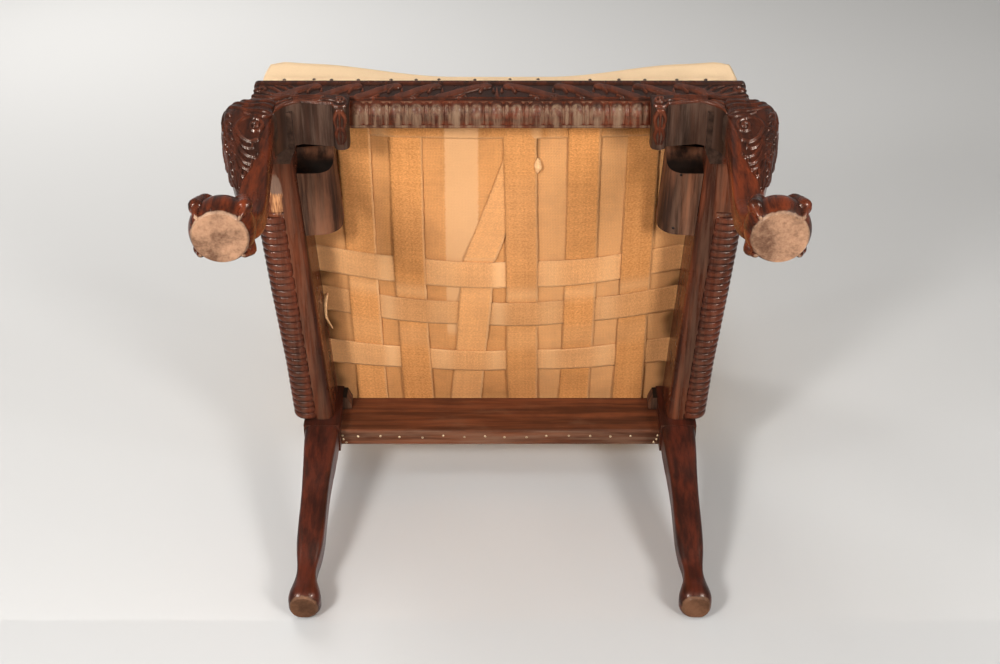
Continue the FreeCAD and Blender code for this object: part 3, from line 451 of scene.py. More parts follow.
class Effects:
    """The shared effects that the finishes are mixed from."""

    def __init__(self) -> None:
        """Build every effect once."""
        self.grain = self.build_grain()
        self.weave = self.build_weave()
        self.soles = self.build_soles()
        self.faded = self.build_faded()
        self.raw = self.build_raw()

    def build_grain(self) -> NodeTree:
        """Build streaks, pores and broad patches of old wood.

        Returns:
            The node group.
        """
        group = Effect("wood_grain", {"Streaks": "Vector", "Place": "Vector"}, ("Streak", "Pores", "Patch"))
        streak = group.noise(group.taken["Streaks"], 1.0, 6.0, 0.62)
        fine = group.noise(group.taken["Streaks"], 6.0, 3.0, 0.6)
        patch = group.noise(group.taken["Place"], 11.0, 5.0, 0.6)
        group.give("Streak", group.ease(streak, 0.34, 0.68))
        group.give("Pores", group.ease(fine, 0.55, 0.72))
        group.give("Patch", group.ease(patch, 0.40, 0.66))
        return group.tree

    def build_weave(self) -> NodeTree:
        """Build crossing yarns from a run along and across the cloth.

        Returns:
            The node group.
        """
        takes = {"Run": "Vector"} | dict.fromkeys(("Warp", "Weft", "Repeat", "Over"), "Float")
        group = Effect("woven_yarns", takes, ("Height", "Yarn"))
        run = group.split(group.taken["Run"])
        heights = []
        yarns = []
        for part, pitch in (("X", "Warp"), ("Y", "Weft")):
            count = group.math("DIVIDE", run[part], group.taken[pitch])
            heights.append(group.math("ABSOLUTE", group.math("SINE", group.times(count, math.pi))))
            yarns.append(group.math("FLOOR", count))
        order = group.math("FLOORED_MODULO", group.plus(*yarns), group.taken["Repeat"])
        over = group.math("LESS_THAN", order, group.taken["Over"])
        under = group.math("SUBTRACT", 1.0, over)
        group.give("Height", group.plus(group.times(over, heights[0]), group.times(under, heights[1])))
        first_weft = 977.0
        weft_yarn = group.plus(yarns[1], first_weft)
        speck = group.add("ShaderNodeTexWhiteNoise", noise_dimensions="1D")
        group.put(speck.inputs["W"], group.plus(group.times(over, yarns[0]), group.times(under, weft_yarn)))
        group.give("Yarn", speck.outputs["Value"])
        return group.tree

    def build_soles(self) -> NodeTree:
        """Build the bare worn wood on the underside of a foot.

        Returns:
            The node group.
        """
        group = Effect("worn_soles", {"Place": "Vector"}, ("Mask", "Mottle"))
        where = group.taken["Place"]
        uneven = group.times(group.noise(where, 90.0, 3.0, 0.6), -0.006)
        height = group.plus(group.split(where)["Z"], uneven)
        group.give("Mask", group.ease(height, 0.0012, -0.0012))
        speck = group.times(group.noise(where, 190.0, 6.0, 0.75), 0.45)
        blotch = group.times(group.noise(where, 26.0, 3.0, 0.5), 0.75)
        group.give("Mottle", group.ease(group.plus(speck, blotch), 0.46, 0.80))
        return group.tree

    def build_faded(self) -> NodeTree:
        """Build the clean band that a shifted strap has left behind.

        Returns:
            The node group.
        """
        group = Effect("clean_band", {"Place": "Vector"}, ("Mask",))
        where = group.taken["Place"]
        parts = group.split(where)
        band_x, front_y, drift = -0.0515, -0.281, -0.002
        middle = group.plus(band_x, group.times(group.plus(parts["Y"], -front_y), drift))
        off = group.math("ABSOLUTE", group.math("SUBTRACT", parts["X"], middle))
        frayed = group.times(group.noise(where, 240.0, 2.0), 0.004)
        side = group.ease(group.plus(off, frayed), 0.0262, 0.0228)
        group.give("Mask", group.times(side, group.ease(parts["Y"], 0.075, 0.055)))
        return group.tree

    def build_raw(self) -> NodeTree:
        """Build the bare patch where a bracket has come away from the left side rail.

        Returns:
            The node group.
        """
        group = Effect("bare_patch", {"Place": "Vector"}, ("Mask", "Streak", "Dull"))
        where = group.taken["Place"]
        parts = group.split(where)
        centre_x, centre_y, half_wide, half_long = -0.2945, -0.184, 0.0105, 0.033
        across = group.math("DIVIDE", group.plus(parts["X"], -centre_x), half_wide)
        along = group.math("DIVIDE", group.plus(parts["Y"], -centre_y), half_long)
        far = group.plus(group.times(across, across), group.times(along, along))
        ragged = group.noise(group.stretch(where, (190.0, 45.0, 45.0)), 1.0, 4.0, 0.7)
        group.give("Mask", group.ease(group.plus(far, group.times(ragged, 1.6)), 1.75, 1.35))
        streak = group.noise(group.stretch(where, (420.0, 36.0, 36.0)), 1.0, 4.0, 0.65)
        group.give("Streak", group.ease(streak, 0.38, 0.62))
        frayed = group.plus(parts["Y"], group.times(ragged, 0.030))
        group.give("Dull", group.ease(frayed, -0.168, -0.174))
        return group.tree


# Finishes


@dataclass(frozen=True)
class Mahogany:
    """Old dark mahogany, polished where it shows and dusty below.

    Attributes:
        name: Name of the finish.
        grain: The way that its grain runs.
        dark: Colour of its dark streaks.
        red: Colour of its bright streaks.
        dusty: How much dust its undersides hold.
        polish: Roughness where it is polished.
        soles: Whether it stands on bare worn soles.
        wear: The way that dust and wear streak it, along the grain if unset.
        sole_light: Colour of the palest wood of a sole.
        sole_dark: Colour of the darkest wood of a sole.
        dust: Colour of the dust.
        dust_from: How far down a face has to look to hold dust, from 0 to -1.
        groove: Colour of the dirt and the painted shade in its narrow hollows.
        smear: How much old dirt is smeared over it.
        post: Whether its inner upper part is left unpolished, as on a front post.
        raw: Whether it has the bare patch of the left side rail.
        front_shadow: How dark the painted shadow on its front end is.
    """

    name: str
    grain: Grain
    dark: Colour = (0.034, 0.0105, 0.0062)
    red: Colour = (0.105, 0.027, 0.0120)
    dusty: float = 0.5
    polish: float = 0.30
    soles: bool = False
    wear: Grain | None = None
    sole_light: Colour = (0.47, 0.285, 0.175)
    sole_dark: Colour = (0.130, 0.062, 0.036)
    dust: Colour = (0.185, 0.098, 0.060)
    dust_from: float = -0.80
    groove: Colour = (0.017, 0.0085, 0.0062)
    smear: float = 0.0
    post: bool = False
    raw: bool = False
    front_shadow: float = 0.0

    def make(self, effects: Effects) -> Material:
        """Make the material.

        Args:
            effects: The shared effects.

        Returns:
            The material.
        """
        material, nodes, shader = start_finish(self.name)
        where = nodes.add("ShaderNodeTexCoord").outputs["Object"]
        facing = nodes.split(nodes.add("ShaderNodeNewGeometry").outputs["Normal"])
        grain = nodes.effect(effects.grain, Streaks=nodes.stretch(where, self.grain.value), Place=where)
        colour = nodes.mix(grain["Streak"], self.dark, self.red)
        colour = nodes.mix(nodes.times(grain["Patch"], 0.32), colour, PATCH_BROWN)
        colour = nodes.mix(nodes.times(grain["Pores"], 0.3), colour, PORE_BROWN)
        under = nodes.ease(facing["Z"], self.dust_from, self.dust_from - 0.17, 0.0, self.dusty)
        wiped = tuple(1.6 * part for part in (self.wear or self.grain).value)
        streaky = nodes.noise(nodes.stretch(where, wiped), 1.0, 5.0, 0.7)
        settled = nodes.times(under, nodes.ease(streaky, 0.36, 0.66))
        colour = nodes.mix(settled, colour, self.dust)
        # Dirt and painted shade: narrow hollows found by ambient occlusion, and the carving's hollow mark,
        # are mixed toward the groove colour.
        near = nodes.add("ShaderNodeAmbientOcclusion", samples=4)
        near.inputs["Distance"].default_value = 0.007
        grime_and_shade = nodes.math("MAXIMUM", nodes.mark("hollow"), nodes.ease(near.outputs["AO"], 0.78, 0.30))
        colour = nodes.mix(nodes.times(grime_and_shade, 0.72), colour, self.groove)
        if self.smear:
            cloudy = nodes.noise(nodes.stretch(where, (7.0, 20.0, 16.0)), 1.0, 5.0, 0.6)
            colour = nodes.mix(nodes.ease(cloudy, 0.52, 0.74, 0.0, self.smear), colour, self.dust)
        # Raised crests are mixed toward a brighter red: rubbed wear, and a painted highlight.
        rubbed = nodes.times(nodes.mark("crest"), nodes.ease(nodes.noise(where, 60.0, 4.0), 0.25, 0.6))
        colour = nodes.mix(nodes.times(rubbed, 0.6), colour, RUBBED_RED_AND_HIGHLIGHT)
        rough = nodes.plus(nodes.times(grain["Patch"], 0.14), self.polish)
        rough = nodes.plus(rough, nodes.times(settled, 0.45), clamp=True)
        for mask, bare, rougher in self.bare_places(nodes, effects, where, facing["Y"], streaky):
            colour = nodes.mix(mask, colour, bare)
            if rougher:
                rough = nodes.plus(rough, nodes.times(mask, rougher), clamp=True)
        nodes.put(shader.inputs["Base Color"], colour)
        nodes.put(shader.inputs["Roughness"], rough)
        shader.inputs["Specular IOR Level"].default_value = 0.13
        shader.inputs["Specular Tint"].default_value = (1.0, 0.80, 0.66, 1.0)
        shader.inputs["Coat Weight"].default_value = 0.03
        shader.inputs["Coat Roughness"].default_value = 0.16
        nodes.bump(shader, 0.25, 0.0005, nodes.math("SUBTRACT", grain["Streak"], grain["Pores"]))
        return material

    def bare_places(
        self, nodes: Nodes, effects: Effects, where: NodeSocket, forward: NodeSocket, streaky: NodeSocket
    ) -> list[tuple[NodeSocket, Any, float]]:
        """List the places that the polish has left or never reached, and the painted shadow on a front end.

        Args:
            nodes: Builder of the material.
            effects: The shared effects.
            where: Output that gives the place.
            forward: How far a face looks to the rear.
            streaky: Streaks of wear.

        Returns:
            For each place its mask, its colour and how much rougher it is.
        """
        listed = []
        if self.soles:
            sole = nodes.effect(effects.soles, Place=where)
            listed.append((sole["Mask"], nodes.mix(sole["Mottle"], self.sole_light, self.sole_dark), 0.4))
        # Painted shadow: faces that look to the front turn near black.
        if self.front_shadow:
            listed.append((nodes.ease(forward, -0.45, -0.85, 0.0, self.front_shadow), FRONT_SHADOW_BLACK, 0.0))
        if self.post:
            parts = nodes.split(where)
            inner = nodes.ease(nodes.math("ABSOLUTE", parts["X"]), 0.2885, 0.2840)
            mask = nodes.times(inner, nodes.ease(parts["Z"], 0.245, 0.268))
            listed.append((mask, nodes.mix(nodes.ease(streaky, 0.3, 0.7), POST_DARK, POST_LIGHT), 0.3))
        if self.raw:
            patch = nodes.effect(effects.raw, Place=where)
            wood = nodes.mix(patch["Streak"], BARE_LIGHT, BARE_DARK)
            wood = nodes.mix(nodes.times(patch["Dull"], 0.9), wood, BARE_DULL)
            listed.append((patch["Mask"], wood, 0.4))
        return listed


@dataclass(frozen=True)
class Cloth:
    """A woven cloth, drawn yarn by yarn along its own run.

    Attributes:
        name: Name of the finish.
        light: Colour of its clean raised yarns.
        dark: Colour of its shaded and dirty yarns.
        warp: Pitch of the long yarns, in metres.
        weft: Pitch of the cross yarns, in metres.
        weave: How the yarns cross.
        soil: How much dirt lies over it.
        uneven: How much the yarns differ.
        bump: How deep the yarns stand.
        faded: Whether a shifted strap has left a clean band on it.
        pale: Colour of its clean places, and of the painted highlights on its bends and selvedges.
    """

    name: str
    light: Colour
    dark: Colour
    warp: float
    weft: float
    weave: Weave = Weave.PLAIN
    soil: float = 0.3
    uneven: float = 0.5
    bump: float = 0.0004
    faded: bool = False
    pale: Colour = (0.90, 0.535, 0.262)

    def make(self, effects: Effects) -> Material:
        """Make the material.

        Args:
            effects: The shared effects.

        Returns:
            The material.
        """
        material, nodes, shader = start_finish(self.name)
        where = nodes.add("ShaderNodeTexCoord").outputs["Object"]
        run = nodes.add("ShaderNodeAttribute", attribute_name="run").outputs["Vector"]
        repeat, over = self.weave.value
        yarns = nodes.effect(effects.weave, Run=run, Warp=self.warp, Weft=self.weft, Repeat=repeat, Over=over)
        tweed = nodes.noise(nodes.stretch(run, (300.0, 470.0, 1.0)), 1.0, 4.0, 0.72)
        fleck = nodes.times(nodes.ease(tweed, 0.36, 0.64), 0.8 * self.uneven)
        tone = nodes.plus(nodes.times(yarns["Yarn"], 0.5 * self.uneven), fleck)
        # Painted shade: the low places between the yarns are mixed toward the dark colour.
        low = nodes.times(nodes.math("SUBTRACT", 1.0, yarns["Height"]), 0.45)
        colour = nodes.mix(nodes.plus(tone, low, clamp=True), self.light, self.dark)
        soiled = nodes.times(nodes.ease(nodes.noise(where, 17.0, 5.0, 0.62), 0.42, 0.70), self.soil)
        colour = nodes.mix(soiled, colour, tuple(0.42 * part for part in self.dark))
        # Clean places, and painted highlights on bends and on one selvedge, are mixed toward the pale colour.
        clean_and_highlight = nodes.times(nodes.mark("pale"), nodes.ease(tweed, 0.15, 0.6, 0.45, 1.0))
        colour = nodes.mix(clean_and_highlight, colour, self.pale)
        colour = nodes.mix(nodes.mark("shade"), colour, tuple(0.22 * part for part in self.dark))
        if self.faded:
            clean = nodes.effect(effects.faded, Place=where)["Mask"]
            colour = nodes.mix(nodes.times(clean, 0.8), colour, CLEAN_JUTE)
        nodes.put(shader.inputs["Base Color"], colour)
        shader.inputs["Roughness"].default_value = 0.9
        shader.inputs["Specular IOR Level"].default_value = 0.15
        nodes.bump(shader, 0.6, self.bump, nodes.plus(yarns["Height"], nodes.times(tweed, 1.2)))
        return material


@dataclass(frozen=True)
class Iron:
    """Dark iron of tack heads, or steel rubbed a little brighter.

    Attributes:
        name: Name of the finish.
        dark: Colour of the rust.
        light: Colour of the rubbed metal.
    """

    name: str
    dark: Colour = (0.022, 0.014, 0.010)
    light: Colour = (0.10, 0.065, 0.045)

    def make(self) -> Material:
        """Make the material.

        Returns:
            The material.
        """
        material, nodes, shader = start_finish(self.name)
        where = nodes.add("ShaderNodeTexCoord").outputs["Object"]
        rust = nodes.ease(nodes.noise(where, 420.0, 4.0, 0.65), 0.36, 0.64)
        nodes.put(shader.inputs["Base Color"], nodes.mix(rust, self.light, self.dark))
        nodes.put(shader.inputs["Roughness"], nodes.ease(rust, 0.0, 1.0, 0.42, 0.8))
        nodes.put(shader.inputs["Metallic"], nodes.ease(rust, 0.2, 0.9, 0.6, 0.0))
        shader.inputs["Specular IOR Level"].default_value = 0.15
        return material


def start_finish(name: str) -> tuple[Material, Nodes, Node]:
    """Start an empty material.

    Args:
        name: Name of the finish.

    Returns:
        The material, its node builder and its shader.
    """
    material = bpy.data.materials.new(name)
    material.use_nodes = True
    nodes = Nodes(material.node_tree)
    material.node_tree.nodes.clear()
    shader = nodes.add("ShaderNodeBsdfPrincipled")
    sheet = nodes.add("ShaderNodeOutputMaterial")
    nodes.put(sheet.inputs["Surface"], shader.outputs["BSDF"])
    return material, nodes, shader


class Finishes:
    """Every finish of the chair, made once."""

    def __init__(self) -> None:
        """Make the materials."""
        effects = Effects()
        self.rail_across = Mahogany("mahogany_across", Grain.ACROSS).make(effects)
        self.rear_rail = Mahogany(
            "mahogany_rear", Grain.ACROSS, (0.062, 0.0205, 0.0100), (0.175, 0.052, 0.0215), 0.7, smear=0.5
        ).make(effects)
        self.gadroon = Mahogany(
            "mahogany_gadroon", Grain.ACROSS, red=(0.150, 0.034, 0.0145), dusty=1.0, polish=0.42,
            wear=Grain.DEEP, dust=(0.215, 0.130, 0.079), dust_from=-0.30, groove=(0.150, 0.033, 0.0135),
        ).make(effects)
        self.reeds = Mahogany(
            "mahogany_reeds", Grain.DEEP, red=(0.120, 0.028, 0.0130), dusty=0.25, polish=0.17,
            dust=(0.170, 0.098, 0.066), groove=(0.021, 0.0075, 0.0050),
        ).make(effects)
        self.bracket = Mahogany(
            "mahogany_bracket", Grain.DEEP, POST_DARK, (0.062, 0.0270, 0.0165), 0.6, 0.38,
            dust=(0.115, 0.068, 0.047), dust_from=-0.6,
        ).make(effects)
        side = {"red": (0.160, 0.042, 0.0175), "dusty": 0.3, "polish": 0.20}
        self.rail_deep = Mahogany("mahogany_deep", Grain.DEEP, **side).make(effects)
        self.left_rail = Mahogany("mahogany_left_rail", Grain.DEEP, raw=True, **side).make(effects)
        self.upright = Mahogany("mahogany_upright", Grain.UPRIGHT).make(effects)
        self.leg = Mahogany(
            "mahogany_leg", Grain.UPRIGHT, red=(0.185, 0.034, 0.0110), dusty=0.2, polish=0.17,
            soles=True, post=True,
        ).make(effects)
        self.rear_leg = Mahogany(
            "mahogany_rear_leg", Grain.UPRIGHT, (0.027, 0.0080, 0.0052), (0.098, 0.0195, 0.0095), 0.2, 0.28,
            soles=True, sole_light=(0.215, 0.103, 0.055), sole_dark=(0.100, 0.046, 0.025),
        ).make(effects)
        self.carved = Mahogany(
            "mahogany_carved", Grain.UPRIGHT, red=(0.105, 0.0225, 0.0090), dusty=0.0, polish=0.17
        ).make(effects)
        self.block = Mahogany(
            "glue_block_wood", Grain.DEEP, (0.024, 0.0110, 0.0072), (0.200, 0.078, 0.039), 0.45, 0.5,
            front_shadow=0.95,
        ).make(effects)
        jute = {"light": (0.83, 0.374, 0.120), "dark": (0.470, 0.180, 0.048), "uneven": 0.6}
        twill = {"warp": 0.0014, "weft": 0.0021, "weave": Weave.TWILL, "bump": 0.0005}
        self.webbing = Cloth("jute_webbing", soil=0.22, **jute, **twill).make(effects)
        self.webbing_faded = Cloth("jute_webbing_faded", soil=0.3, faded=True, **jute, **twill).make(effects)
        self.cross_webbing = Cloth(
            "jute_cross_webbing", (0.83, 0.400, 0.148), (0.480, 0.205, 0.070), soil=0.18, uneven=0.55, **twill
        ).make(effects)
        self.hessian = Cloth(
            "jute_hessian", (0.715, 0.312, 0.096), (0.405, 0.150, 0.039), 0.0021, 0.0021,
            uneven=0.4, bump=0.0006, faded=True,
        ).make(effects)
        self.muslin = Cloth(
            "undyed_muslin", (0.905, 0.650, 0.395), (0.76, 0.51, 0.285), 0.0009, 0.0009,
            soil=0.06, uneven=0.2, bump=0.0002,
        ).make(effects)
        self.tack = Iron("dark_tacks").make()
        self.nail = Iron("nail_ends", (0.006, 0.0035, 0.0025), (0.020, 0.0105, 0.0065)).make()
        self.bright_tack = Iron("rubbed_tacks", (0.22, 0.145, 0.085), (0.60, 0.44, 0.27)).make()


# The seat


@dataclass
class SeatPlan:
    """Plan and levels that every layer of the seat shares, in millimetres."""

    top: float = 385.0
    front: float = -311.0
    rear: float = 229.0
    half_front: float = 317.0
    splay: float = 3.7
    rail_thick: float = 44.0
    inner_front: float = -281.0
    inner_rear: float = 202.0
    sag: float = 50.0
    post_inner: float = 263.0
    post_back: float = -239.0

    def side(self, y: Any) -> Any:
        """Give the outer half width at a depth."""
        return self.half_front - (np.asarray(y) - self.front) * math.tan(math.radians(self.splay))

    def inner(self, y: Any) -> Any:
        """Give the half width inside the side rails at a depth."""
        open_half = self.side(y) - self.rail_thick
        return np.where(np.asarray(y) < self.post_back, np.minimum(open_half, self.post_inner), open_half)

    def level(self, x: Any, y: Any, on_rail: float, inside: float) -> Any:
        """Give the height of a slung layer.

        Args:
            x: Place across.
            y: Place in depth.
            on_rail: How far it lies over the rails.
            inside: How far it lies over the sag inside the frame.

        Returns:
            The height.
        """
        middle = 0.5 * (self.inner_front + self.inner_rear)
        reach = 0.5 * (self.inner_rear - self.inner_front) - 1.5
        across = np.maximum(0.0, 1.0 - (np.asarray(x) / (self.inner(y) - 1.5)) ** 2)
        along = np.maximum(0.0, 1.0 - ((np.asarray(y) - middle) / reach) ** 2)
        dip = across * along
        return self.top - self.sag * dip + on_rail + (inside - on_rail) * np.minimum(1.0, 5.0 * dip)


@dataclass
class Webbing:
    """The interlaced straps under the seat, with one strap torn loose in front."""

    plan: SeatPlan
    finishes: Finishes
    width: float = 44.0
    cross_width: float = 42.0
    thick: float = 1.1
    weave: float = 1.0
    start: float = -303.0
    finish: float = 224.0
    on_rail: float = 1.2
    inside: float = 2.4
    front_shares: tuple[float, ...] = (-0.749, -0.48, -0.19, 0.094, 0.427, 0.731)
    rear_shares: tuple[float, ...] = (-0.818, -0.526, -0.212, 0.147, 0.476, 0.818)
    row_shares: tuple[float, ...] = (0.052, 0.495, 0.634, 0.822)
    rear_half: float = 231.1
    loose: int = 2
    loose_start: float = -207.0
    columns: int = 13
    long_stations: int = 190
    cross_stations: int = 210
    long_tones: tuple[float, ...] = (0.0, 0.05, 0.0, 0.10, 0.03, 0.13)
    long_clean: tuple[float, ...] = (0.05, 0.0, 0.22, 0.06, 0.0, 0.0)
    cross_tones: tuple[float, ...] = (0.14, 0.0, 0.16, 0.04)
    cross_clean: tuple[float, ...] = (0.0, 0.10, 0.02, 0.08)

    def row(self, number: int) -> float:
        """Give the depth of a cross strap's middle."""
        plan = self.plan
        return plan.inner_front + (plan.inner_rear - plan.inner_front) * self.row_shares[number]

    def middle(self, number: int, y: Array) -> Array:
        """Give where the middle of a long strap runs.

        Args:
            number: Which strap.
            y: Depths.

        Returns:
            The places across.
        """
        plan = self.plan
        front = self.front_shares[number] * plan.post_inner
        rear = self.rear_shares[number] * self.rear_half
        line = front + (rear - front) * (y - plan.inner_front) / (plan.inner_rear - plan.inner_front)
        if number != self.loose:
            return line
        turn = self.row(1) - 0.5 * self.cross_width
        return np.interp(y, (self.loose_start, turn, plan.inner_rear, self.finish), (25.5, -29.0, rear, rear))

    def lift(
        self, number: int, along: Array, crossings: Sequence[float], reach: float, sign: int
    ) -> Array:
        """Give how far a strap rises and falls over the ones it crosses.

        Args:
            number: Which strap.
            along: Places along the strap.
            crossings: Where it crosses the others.
            reach: Half the width of a crossing.
            sign: 1 for long straps and -1 for cross straps.

        Returns:
            The lifts.
        """
        spots = [-400.0]
        lifts = [0.0]
        for order, line in enumerate(crossings):
            up = self.weave if (number + order) % 2 else -self.weave
            spots += [line - reach, line + reach]
            lifts += [sign * up, sign * up]
        raised = np.interp(along, spots + [400.0], lifts + [0.0])
        pad = np.pad(raised, 6, mode="edge")
        return np.convolve(pad, np.hanning(15)[1:-1] / np.hanning(15).sum(), mode="valid")

    def spread(
        self, along: Array, width: float, sway: float, uneven: float, seed: int
    ) -> tuple[Array, Array]:
        """Give how a strap strays from its line, and how far its points lie to either side.

        Args:
            along: Places along the strap.
            width: Its width.
            sway: How far it strays.
            uneven: How much its half width varies.
            seed: Seed of its ripples.

        Returns:
            The sway at each place, and the offsets across it.
        """
        still = np.zeros_like(along)
        stray = sway * ripple(along / 90.0, still, seed)
        half = 0.5 * width + uneven * ripple(along / 30.0, still, seed + 50)
        return stray, half[:, None] * np.linspace(-1.0, 1.0, self.columns)[None, :]

    def skin(
        self, name: str, surface: Array, run: Array, tone: float, pale: Array, finish: Material
    ) -> Object:
        """Close a strap from its middle surface.

        Args:
            name: Name of the strap.
            surface: Points of its middle surface, one row for each station.
            run: Run across and along, in metres, for the yarns.
            tone: How dark the strap is.
            pale: How clean it is at each place, with painted highlights on its bends.
            finish: Its material.

        Returns:
            The strap.
        """
        rows, columns = surface.shape[:2]
        half_thick = np.zeros((columns, 3))
        half_thick[:, 2] = 0.5 * self.thick
        half_thick[[0, -1], 2] *= 0.55
        ring = np.concatenate([surface - half_thick, (surface + half_thick)[:, ::-1]], axis=1)
        faces = grid_faces(rows, 2 * columns, closed=True)
        faces.append(tuple(range(2 * columns)))
        faces.append(tuple(reversed(range((rows - 1) * 2 * columns, rows * 2 * columns))))
        # Painted light on the edges: painted shade along one edge, and a painted highlight along the other.
        rim = np.linspace(-1.0, 1.0, columns)
        shade = tone + 0.16 * blend(-rim, 0.88, 1.0)
        pale = np.clip(pale + 0.4 * blend(rim, 0.88, 1.0)[None, :], 0.0, 1.0)
        marks = {
            "run": np.concatenate([run, run[:, ::-1]], axis=1).reshape(-1, 3),
            "shade": np.tile(np.concatenate([shade, shade[::-1]]), rows),
            "pale": np.concatenate([pale, pale[:, ::-1]], axis=1).ravel(),
        }
        piece = make_mesh(name, ring.reshape(-1, 3), faces, marks)
        return place(piece, finish, [name])

    def long_strap(self, number: int) -> None:
        """Build one strap that runs from front to back.

        Args:
            number: Which strap.
        """
        first = self.loose_start if number == self.loose else self.start
        along = np.linspace(first, self.finish, self.long_stations)
        seed = 40 + number
        stray, offsets = self.spread(along, self.width, 1.1, 0.45, seed)
        x = (self.middle(number, along) + stray)[:, None] + offsets
        frayed = 0.35 * ripple(along / 3.2, np.zeros_like(along), seed + 90)
        x[:, 0] += frayed
        x[:, -1] -= frayed
        y = np.repeat(along[:, None], self.columns, axis=1)
        rows = [self.row(order) for order in range(len(self.row_shares))]
        rise = self.lift(number, along, rows, 0.5 * self.cross_width + 1.0, 1)
        if number == self.loose:
            freed = np.interp(along, (first, rows[1] - 60.0, rows[1] - 24.0), (2.2, 1.6, -1.0))
            rise = np.where(along < rows[1] - 24.0, freed, rise)
        z = self.plan.level(x, y, self.on_rail, self.inside) + rise[:, None]
        surface = np.stack([x, y, z + 0.28 * ripple(x / 14.0, y / 26.0, seed + 7)], axis=2)
        run = np.stack([offsets * MM, y * MM, np.full_like(y, number)], axis=2)
        # Painted highlight where the strap bends over and under the cross straps.
        pale = self.long_clean[number] + 0.3 * self.bends(rise, along)[:, None]
        name = f"woven_strap_{number + 1}"
        strap = self.skin(name, surface, run, self.long_tones[number], pale, self.finishes.webbing)
        scraps = [self.torn_corner()] if number == self.loose else []

    def bends(self, rise: Array, along: Array) -> Array:
        """Give where a strap bends over or under another, from 0 to 1."""
        slope = np.abs(np.gradient(rise, along))
        return np.clip(slope / max(float(slope.max()), 1e-6), 0.0, 1.0) ** 1.5

    def ribbon(
        self, name: str, path: Sequence[Sequence[float]], half: Sequence[float], lean: Sequence[float]
    ) -> Object:
        """Build a loose scrap of jute along a path.

        Args:
            name: Name of the scrap.
            path: Points of its middle.
            half: Its half width at each point.
            lean: The way across it.

        Returns:
            The scrap.
        """
        middle = np.asarray(path, dtype=float)
        across = np.asarray(lean, dtype=float) / np.linalg.norm(lean)
        forward = np.gradient(middle, axis=0)
        up = np.cross(forward, across)
        up = 0.45 * up / np.linalg.norm(up, axis=1)[:, None]
        wide = np.asarray(half)[:, None] * across
        corners = [middle - wide - up, middle + wide - up, middle + wide + up, middle - wide + up]
        ring = np.stack(corners, axis=1)
        run = np.repeat(np.linspace(0.0, 0.03, len(middle)), 4)
        marks = {"run": np.stack([run, 0.4 * run, 0.0 * run], axis=1), "pale": np.full(len(run), 0.95)}
        piece = make_mesh(name, ring.reshape(-1, 3), tube_faces(len(middle), 4), marks)
        return place(piece, self.finishes.webbing)

    def torn_corner(self) -> Object:
        """Build the folded corner at the torn end of the loose strap."""
        share = np.linspace(0.0, 1.0, 9)
        x = 51.5 - 2.0 * share
        y = -209.0 + 20.0 * share
        z = self.plan.level(x, y, self.on_rail, self.inside) + 0.6 - 3.4 * np.sin(math.pi * share)
        path = np.stack([x, y, z], axis=1)
        half = np.interp(share, (0.0, 0.45, 1.0), (1.8, 5.6, 0.6))
        return self.ribbon("torn_corner", path, half, (1.0, 0.25, -0.2))

    def curled_strip(self) -> Object:
        """Build the strip that curls out beside the left side rail."""
        share = np.linspace(0.0, 1.0, 21)
        x = np.interp(share, (0.0, 0.2, 0.5, 0.78, 1.0), (-245.5, -248.3, -248.3, -244.6, -240.0))
        z = np.interp(share, (0.0, 0.25, 0.6, 1.0), (383.0, 370.0, 363.0, 368.0))
        path = np.stack([x, 16.0 + 50.0 * share, z], axis=1)
        half = np.interp(share, (0.0, 0.15, 0.8, 1.0), (1.0, 2.6, 2.2, 0.8))
        return self.ribbon("curled_strip", path, half, (1.0, 0.1, -0.35))

    def cross_strap(self, number: int) -> None:
        """Build one strap that runs from side to side.

        Args:
            number: Which row.
        """
        plan = self.plan
        depth = self.row(number)
        reach = float(plan.inner(depth)) + 34.0
        if depth - 0.5 * self.cross_width < plan.post_back + 2.0:
            reach = plan.post_inner - 1.0
        along = np.linspace(-reach, reach, self.cross_stations)
        seed = 140 + number
        stray, offsets = self.spread(along, self.cross_width, 0.9, 0.4, seed)
        y = (depth + stray)[:, None] + offsets
        x = np.repeat(along[:, None], self.columns, axis=1)
        lines = [float(self.middle(order, np.array([depth]))[0]) for order in range(len(self.front_shares))]
        rise = self.lift(number, along, lines, 0.5 * self.width + 1.5, -1)
        z = plan.level(x, y, self.on_rail, self.inside) + rise[:, None]
        surface = np.stack([x, y, z + 0.28 * ripple(x / 26.0, y / 14.0, seed + 7)], axis=2)
        run = np.stack([offsets * MM, x * MM, np.full_like(y, number)], axis=2)
        finish = self.finishes.webbing_faded if number == 0 else self.finishes.cross_webbing
        # Painted highlight where the strap bends over and under the long straps.
        pale = self.cross_clean[number] + 0.45 * self.bends(rise, along)[:, None]
        pale = pale + 0.2 * blend(-x, 120.0, 260.0) * (number > 0)
        name = f"cross_strap_{number + 1}"
        strap = self.skin(name, surface, run, self.cross_tones[number], pale, finish)
        scraps = [self.curled_strip()] if number == 2 else []

    def build(self) -> None:
        """Build every strap."""
        for number in range(len(self.front_shares)):
            self.long_strap(number)
        for number in range(len(self.row_shares)):
            self.cross_strap(number)


